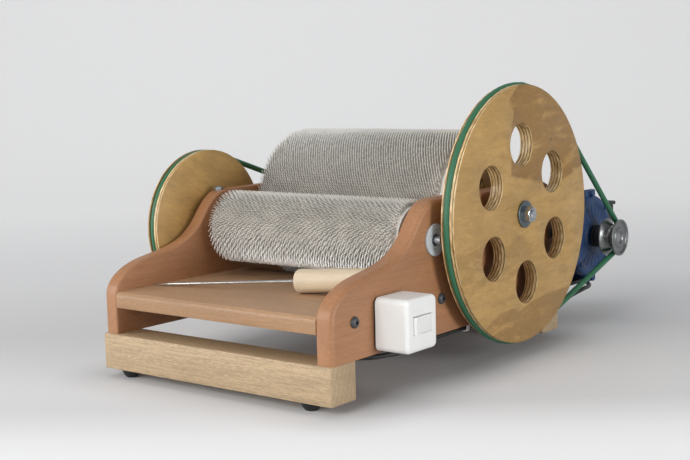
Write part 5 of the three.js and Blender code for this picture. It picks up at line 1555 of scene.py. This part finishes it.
class CARDER_OT_lead(bpy.types.Operator):
    """Lay the motor's lead along its route, under the panel, through the beam and up to the terminal box"""

    bl_idname = "carder.lead"
    bl_label = "Motor lead"

    def execute(self, context):
        switch_y = middle_of("switch_housing").y
        beam_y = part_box("rear_beam")[1].y
        points = []
        for start, places in ((switch_y, LEAD_FRONT), (beam_y, LEAD_REAR)):
            points += [Vector((PANEL_HIGH.x + x / 1000, start + y / 1000, z / 1000)) for x, y, z in places]
        path = catmull(points, 10)
        curve = bpy.data.curves.new("motor_cable", "CURVE")
        curve.dimensions = "3D"
        curve.bevel_depth = LEAD_RADIUS
        curve.bevel_resolution = 4
        curve.use_fill_caps = True
        spline = curve.splines.new("POLY")
        spline.points.add(len(path) - 1)
        for point, place in zip(spline.points, path):
            point.co = (*place, 1)
        curve.materials.append(finish("lead"))
        piece = bpy.data.objects.new("motor_cable", curve)
        bpy.context.scene.collection.objects.link(piece)
        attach(piece, "frame")
        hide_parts("motor_lead")
        length = sum((b - a).length for a, b in zip(path, path[1:]))
        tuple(path[0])
        for row in ("front", "rear"):
            self.clip(row)
        return {"FINISHED"}

    def clip(self, row):
        node = f"lead_clip_{row}"
        low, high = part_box(node)
        cable = Vector((PANEL_HIGH.x - LEAD_RUN_IN, low.y, LEAD_RUN_HEIGHT))
        inner, outer = 0.0034, 0.0053
        corners = [(cable.x - outer, high.z - 0.0033), (low.x, high.z - 0.0033), (low.x, high.z)]
        outline = [Vector((cable.x + outer, low.y, high.z))]
        outline += [cable + Vector((along, 0, up)) for along, up in arc(0, -pi, 12, outer)]
        outline += [Vector((x, low.y, z)) for x, z in corners]
        bm = bmesh.new()
        prism(bm, outline, BACK * (high.y - low.y))
        hole = bmesh.new()
        turned(hole, rod_profile(-0.01, 0.02, inner), cable, BACK, 40)
        bm = carved(bm, hole)
        mouth = bmesh.new()
        slab(mouth, (cable.x - inner, low.y - 0.01, cable.z), (cable.x + inner, high.y + 0.01, high.z + 0.01))
        bm = carved(bm, mouth)
        bevel(bm, sharp_edges(bm, 1.2), 0.0004, 2)
        finished(f"cable_clip_{row}", bm, finish("clip plastic"), "frame", [node])


def catmull(points, steps):
    """A smooth path through the points, with more between each two."""
    path = []
    for index in range(len(points) - 1):
        before = points[max(index - 1, 0)]
        start, end = points[index], points[index + 1]
        after = points[min(index + 2, len(points) - 1)]
        run = end - start
        first = (start - before).length ** 0.5 or run.length ** 0.5
        middle = run.length ** 0.5
        last = (after - end).length ** 0.5 or middle
        out = run
        if index:
            out = ((start - before) / first - (end - before) / (first + middle) + run / middle) * middle
        back = run
        if index < len(points) - 2:
            back = (run / middle - (after - start) / (middle + last) + (after - end) / last) * middle
        path += interpolate_bezier(start, start + out / 3, end - back / 3, end, steps)[:-1]
    path.append(points[-1])
    return path


# Awl
class CARDER_OT_awl(bpy.types.Operator):
    """Turn the awl's handle and steel rod, lying across the shelf"""

    bl_idname = "carder.awl"
    bl_label = "Doffing awl"

    def execute(self, context):
        tip_x = 0.004 - INNER
        across = INNER - 0.0231 - tip_x
        tray = LICKER.y - 0.0485 - PANEL_LOW.y
        tip_share, end_share = 0.4056, 0.886
        back = tray * (end_share - tip_share)
        rod, handle = 0.002, 0.015
        handle_length, ease, taper = 0.100, 0.006, 0.012
        start = hypot(across, back) - handle_length
        end = start + handle_length
        pitch = atan2(handle - rod, start + ease - taper)
        lift = rod * cos(pitch) - taper * sin(pitch)
        shelf_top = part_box("feed_shelf")[1].z
        tip = Vector((MIDDLE_X + tip_x, PANEL_LOW.y + tray * tip_share, shelf_top + FIT + lift))
        way = Matrix.Rotation(atan2(back, across), 3, UP) @ Matrix.Rotation(-pitch, 3, "Y") @ ACROSS
        bm = bmesh.new()
        profile = [(0, 0), (0.0002, 0.0007), (0.003, 0.0011), (0.009, 0.0017), (taper, rod)]
        profile += [(start + 0.03, rod), (start + 0.03, 0)]
        turned(bm, profile, tip, way, 32)
        finished("awl_spike", bm, finish("spike"), "awl", ["awl_rod"])
        rear = handle - 0.0012
        corner = arc(0, pi / 2, 8, ease)
        profile = [(start + 0.03015, 0), (start + 0.03015, rod + FIT), (start, rod + FIT)]
        profile += [(start + ease - along, handle - ease + out) for along, out in corner]
        profile += [(end - ease + along, rear - ease + out) for out, along in corner]
        profile.append((end, 0))
        bm = bmesh.new()
        turned(bm, profile, tip, way, 72)
        finished("awl_grip", bm, finish("handle"), "awl", ["awl_handle"])
        return {"FINISHED"}


# Stage
CAMERA_TURN = 38.18
CAMERA_RISE = 6.95
CAMERA_ROLL = -1.41
CAMERA_PLACE = (1.015227, -1.41082, 0.37119)
CAMERA_LENS = 65.19
SENSOR_WIDTH = 36
CAMERA_SIGHT = 40
# Each lamp: its name, turn from the front towards the right and rise in degrees, distance, size, and
# brightness of a white surface that faces it.
LAMPS = [
    ("left_softbox", -40, 15, 3.4, 1.6, 0.42),
    ("front_softbox", 4, 20, 3.2, 1.5, 0.51),
    ("right_softbox", 90, 9, 3.2, 1.1, 0.49),
    ("top_softbox", -20, 75, 3.0, 1.9, 0.14),
]
LAMP_TARGET = Vector((0, 0, 0.12))
STUDIO_AIR = (0.96, 0.98, 1.0, 1)
STUDIO_AIR_STRENGTH = 0.26
# The paper's reach towards the camera, behind the object and to each side, its height and its bend's radius.
PAPER_NEAR = 12.0
PAPER_FAR = 2.6
PAPER_SIDE = 9.0
PAPER_TOP = 5.0
PAPER_BEND = 1.2
# The paper doesn't glow under the machine: half that dark patch's width and depth, and its soft edge.
DARK_HALF_WIDTH = 0.17
DARK_HALF_DEPTH = 0.23
DARK_EDGE = 0.11
# How brightly the paper glows to the camera, by its distance behind the object.
PAPER_GLOW = [
    (-12.0, 0.32), (-4.20, 0.30), (-3.20, 0.10), (-2.00, 0.04), (-1.15, 0.27), (-0.80, 0.34),
    (-0.54, 0.325), (-0.45, 0.265), (-0.35, 0.125), (-0.23, 0.150), (-0.09, 0.122), (0.08, 0.078),
    (0.29, 0.125), (0.54, 0.185), (0.87, 0.226), (1.31, 0.30), (1.91, 0.386), (2.60, 0.42), (3.20, 0.395),
    (3.8, 0.365),
]


def towards(turn, rise):
    """The direction at a turn from the front towards the right and a rise, in degrees."""
    turn, rise = radians(turn), radians(rise)
    return Vector((sin(turn) * cos(rise), -cos(turn) * cos(rise), sin(rise)))


def camera_frame():
    """The camera's right, up and backward directions."""
    backward = towards(CAMERA_TURN, CAMERA_RISE)
    roll = radians(CAMERA_ROLL)
    rightward = (-backward).cross(UP).normalized()
    upward = rightward.cross(-backward)
    right = rightward * cos(roll) + upward * sin(roll)
    up = upward * cos(roll) - rightward * sin(roll)
    return right, up, backward


class CARDER_OT_stage(bpy.types.Operator):
    """Set the camera, the soft studio lights, and the pale floor that sweeps up behind"""

    bl_idname = "carder.stage"
    bl_label = "Stage"

    def execute(self, context):
        scene = context.scene
        scene.view_settings.view_transform = "Standard"
        data = bpy.data.cameras.new("carder_camera")
        data.lens = CAMERA_LENS
        data.sensor_width = SENSOR_WIDTH
        data.clip_end = CAMERA_SIGHT
        camera = bpy.data.objects.new("carder_camera", data)
        facing = Matrix(camera_frame()).transposed().to_4x4()
        camera.matrix_world = Matrix.Translation(CAMERA_PLACE) @ facing
        scene.collection.objects.link(camera)
        scene.camera = camera
        self.sweep(scene)
        self.lights(scene)
        return {"FINISHED"}

    def sweep(self, scene):
        behind = -towards(CAMERA_TURN, 0)
        side = behind.cross(UP)
        outline = [(-PAPER_NEAR, 0), (PAPER_FAR, 0)]
        bend = arc(0, pi / 2, 16, PAPER_BEND)[1:]
        outline += [(PAPER_FAR + along, PAPER_BEND - up) for up, along in bend]
        outline.append((PAPER_FAR + PAPER_BEND, PAPER_TOP))
        bm = bmesh.new()
        line = [bm.verts.new(behind * reach + UP * height - side * PAPER_SIDE) for reach, height in outline]
        edges = [bm.edges.new(pair) for pair in zip(line, line[1:])]
        pulled = bmesh.ops.extrude_edge_only(bm, edges=edges)["geom"]
        bmesh.ops.translate(bm, vec=side * 2 * PAPER_SIDE, verts=verts_of(pulled))
        bmesh.ops.recalc_face_normals(bm, faces=bm.faces)
        mesh = bpy.data.meshes.new("studio_sweep")
        bm.to_mesh(mesh)
        bm.free()
        mesh.shade_smooth()
        mesh.materials.append(self.paper(behind))
        sweep = bpy.data.objects.new("studio_sweep", mesh)
        scene.collection.objects.link(sweep)

    def paper(self, behind):
        """Pale paper that shows lighter to the camera far behind the object and close in front of it."""
        bench = Bench("Studio paper")
        colour = choices().carder_paints.floor
        tone = bench.speckle(0.6, 2, 0.5)
        x, y = bench.split(bench.place())[:2]
        away = x * behind.x + y * behind.y
        aside = bench.larger(abs(x - MIDDLE_X) - DARK_HALF_WIDTH, 0)
        ahead = bench.larger(abs(y - (PANEL_LOW.y + PANEL_HIGH.y) / 2) - DARK_HALF_DEPTH, 0)
        open_floor = bench.soft(bench.distance(aside, ahead), 0.0, DARK_EDGE)
        glow = bench.curve(away, PAPER_GLOW) * open_floor
        outputs = ("Is Camera Ray", "Is Glossy Ray", "Is Transmission Ray")
        camera, glossy, through = [bench.node("ShaderNodeLightPath", out=name) for name in outputs]
        seen = bench.larger(bench.larger(camera, glossy), through)
        bench.feed(bench.shader, "Emission Color", bench.blend(seen, (0, 0, 0), glow))
        bench.feed(bench.shader, "Emission Strength", 1.0)
        return bench.done(bench.blend(tone, darker(colour, 0.99), darker(colour, 1.01)), 0.75)

    def lights(self, scene):
        for name, turn, rise, reach, size, level in LAMPS:
            direction = towards(turn, rise)
            light = bpy.data.lights.new(name, "AREA")
            light.shape = "SQUARE"
            light.size = size
            light.energy = level * (pi * reach) ** 2
            lamp = bpy.data.objects.new(name, light)
            lamp.location = LAMP_TARGET + direction * reach
            lamp.rotation_mode = "QUATERNION"
            lamp.rotation_quaternion = (-direction).to_track_quat("-Z", "Y")
            scene.collection.objects.link(lamp)
        world = scene.world or bpy.data.worlds.new("Studio air")
        scene.world = world
        world.use_nodes = True
        air = world.node_tree.nodes["Background"]
        air.inputs["Color"].default_value = STUDIO_AIR
        air.inputs["Strength"].default_value = STUDIO_AIR_STRENGTH


class CARDER_PT_sidebar(bpy.types.Panel):
    """Lists the carder's pieces and their choices"""

    bl_idname = "CARDER_PT_sidebar"
    bl_label = "Drum carder"
    bl_space_type = "VIEW_3D"
    bl_region_type = "UI"
    bl_category = "Carder"

    def draw(self, context):
        for group in ("carder_woods", "carder_paints", "carder_cloth", "carder_details"):
            box = self.layout.box()
            settings = getattr(context.scene, group)
            for name in settings.__annotations__:
                box.prop(settings, name)
        column = self.layout.column(align=True)
        for operator in OPERATORS:
            column.operator(operator.bl_idname)


GROUPS = {
    "carder_woods": CarderWoods,
    "carder_paints": CarderPaints,
    "carder_cloth": CarderCloth,
    "carder_details": CarderDetails,
}
OPERATORS = [
    CARDER_OT_stage,
    CARDER_OT_lead,
    CARDER_OT_beams,
    CARDER_OT_feet,
    CARDER_OT_panels,
    CARDER_OT_shelf,
    CARDER_OT_bolts,
    CARDER_OT_bearings,
    CARDER_OT_drum,
    CARDER_OT_drum_cloth,
    CARDER_OT_licker_in,
    CARDER_OT_licker_cloth,
    CARDER_OT_drive_wheel,
    CARDER_OT_left_wheels,
    CARDER_OT_hubs,
    CARDER_OT_belts,
    CARDER_OT_motor,
    CARDER_OT_motor_pulley,
    CARDER_OT_switch,
    CARDER_OT_awl,
]


def register():
    for owner in (*GROUPS.values(), *OPERATORS, CARDER_PT_sidebar):
        bpy.utils.register_class(owner)
    for name, group in GROUPS.items():
        setattr(bpy.types.Scene, name, PointerProperty(type=group))


def unregister():
    for name in GROUPS:
        delattr(bpy.types.Scene, name)
    for owner in reversed((*GROUPS.values(), *OPERATORS, CARDER_PT_sidebar)):
        bpy.utils.unregister_class(owner)


def main():
    register()
    for operator in OPERATORS:
        group, name = operator.bl_idname.split(".")
        getattr(getattr(bpy.ops, group), name)()
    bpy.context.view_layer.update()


if __name__ == "__main__":
    main()
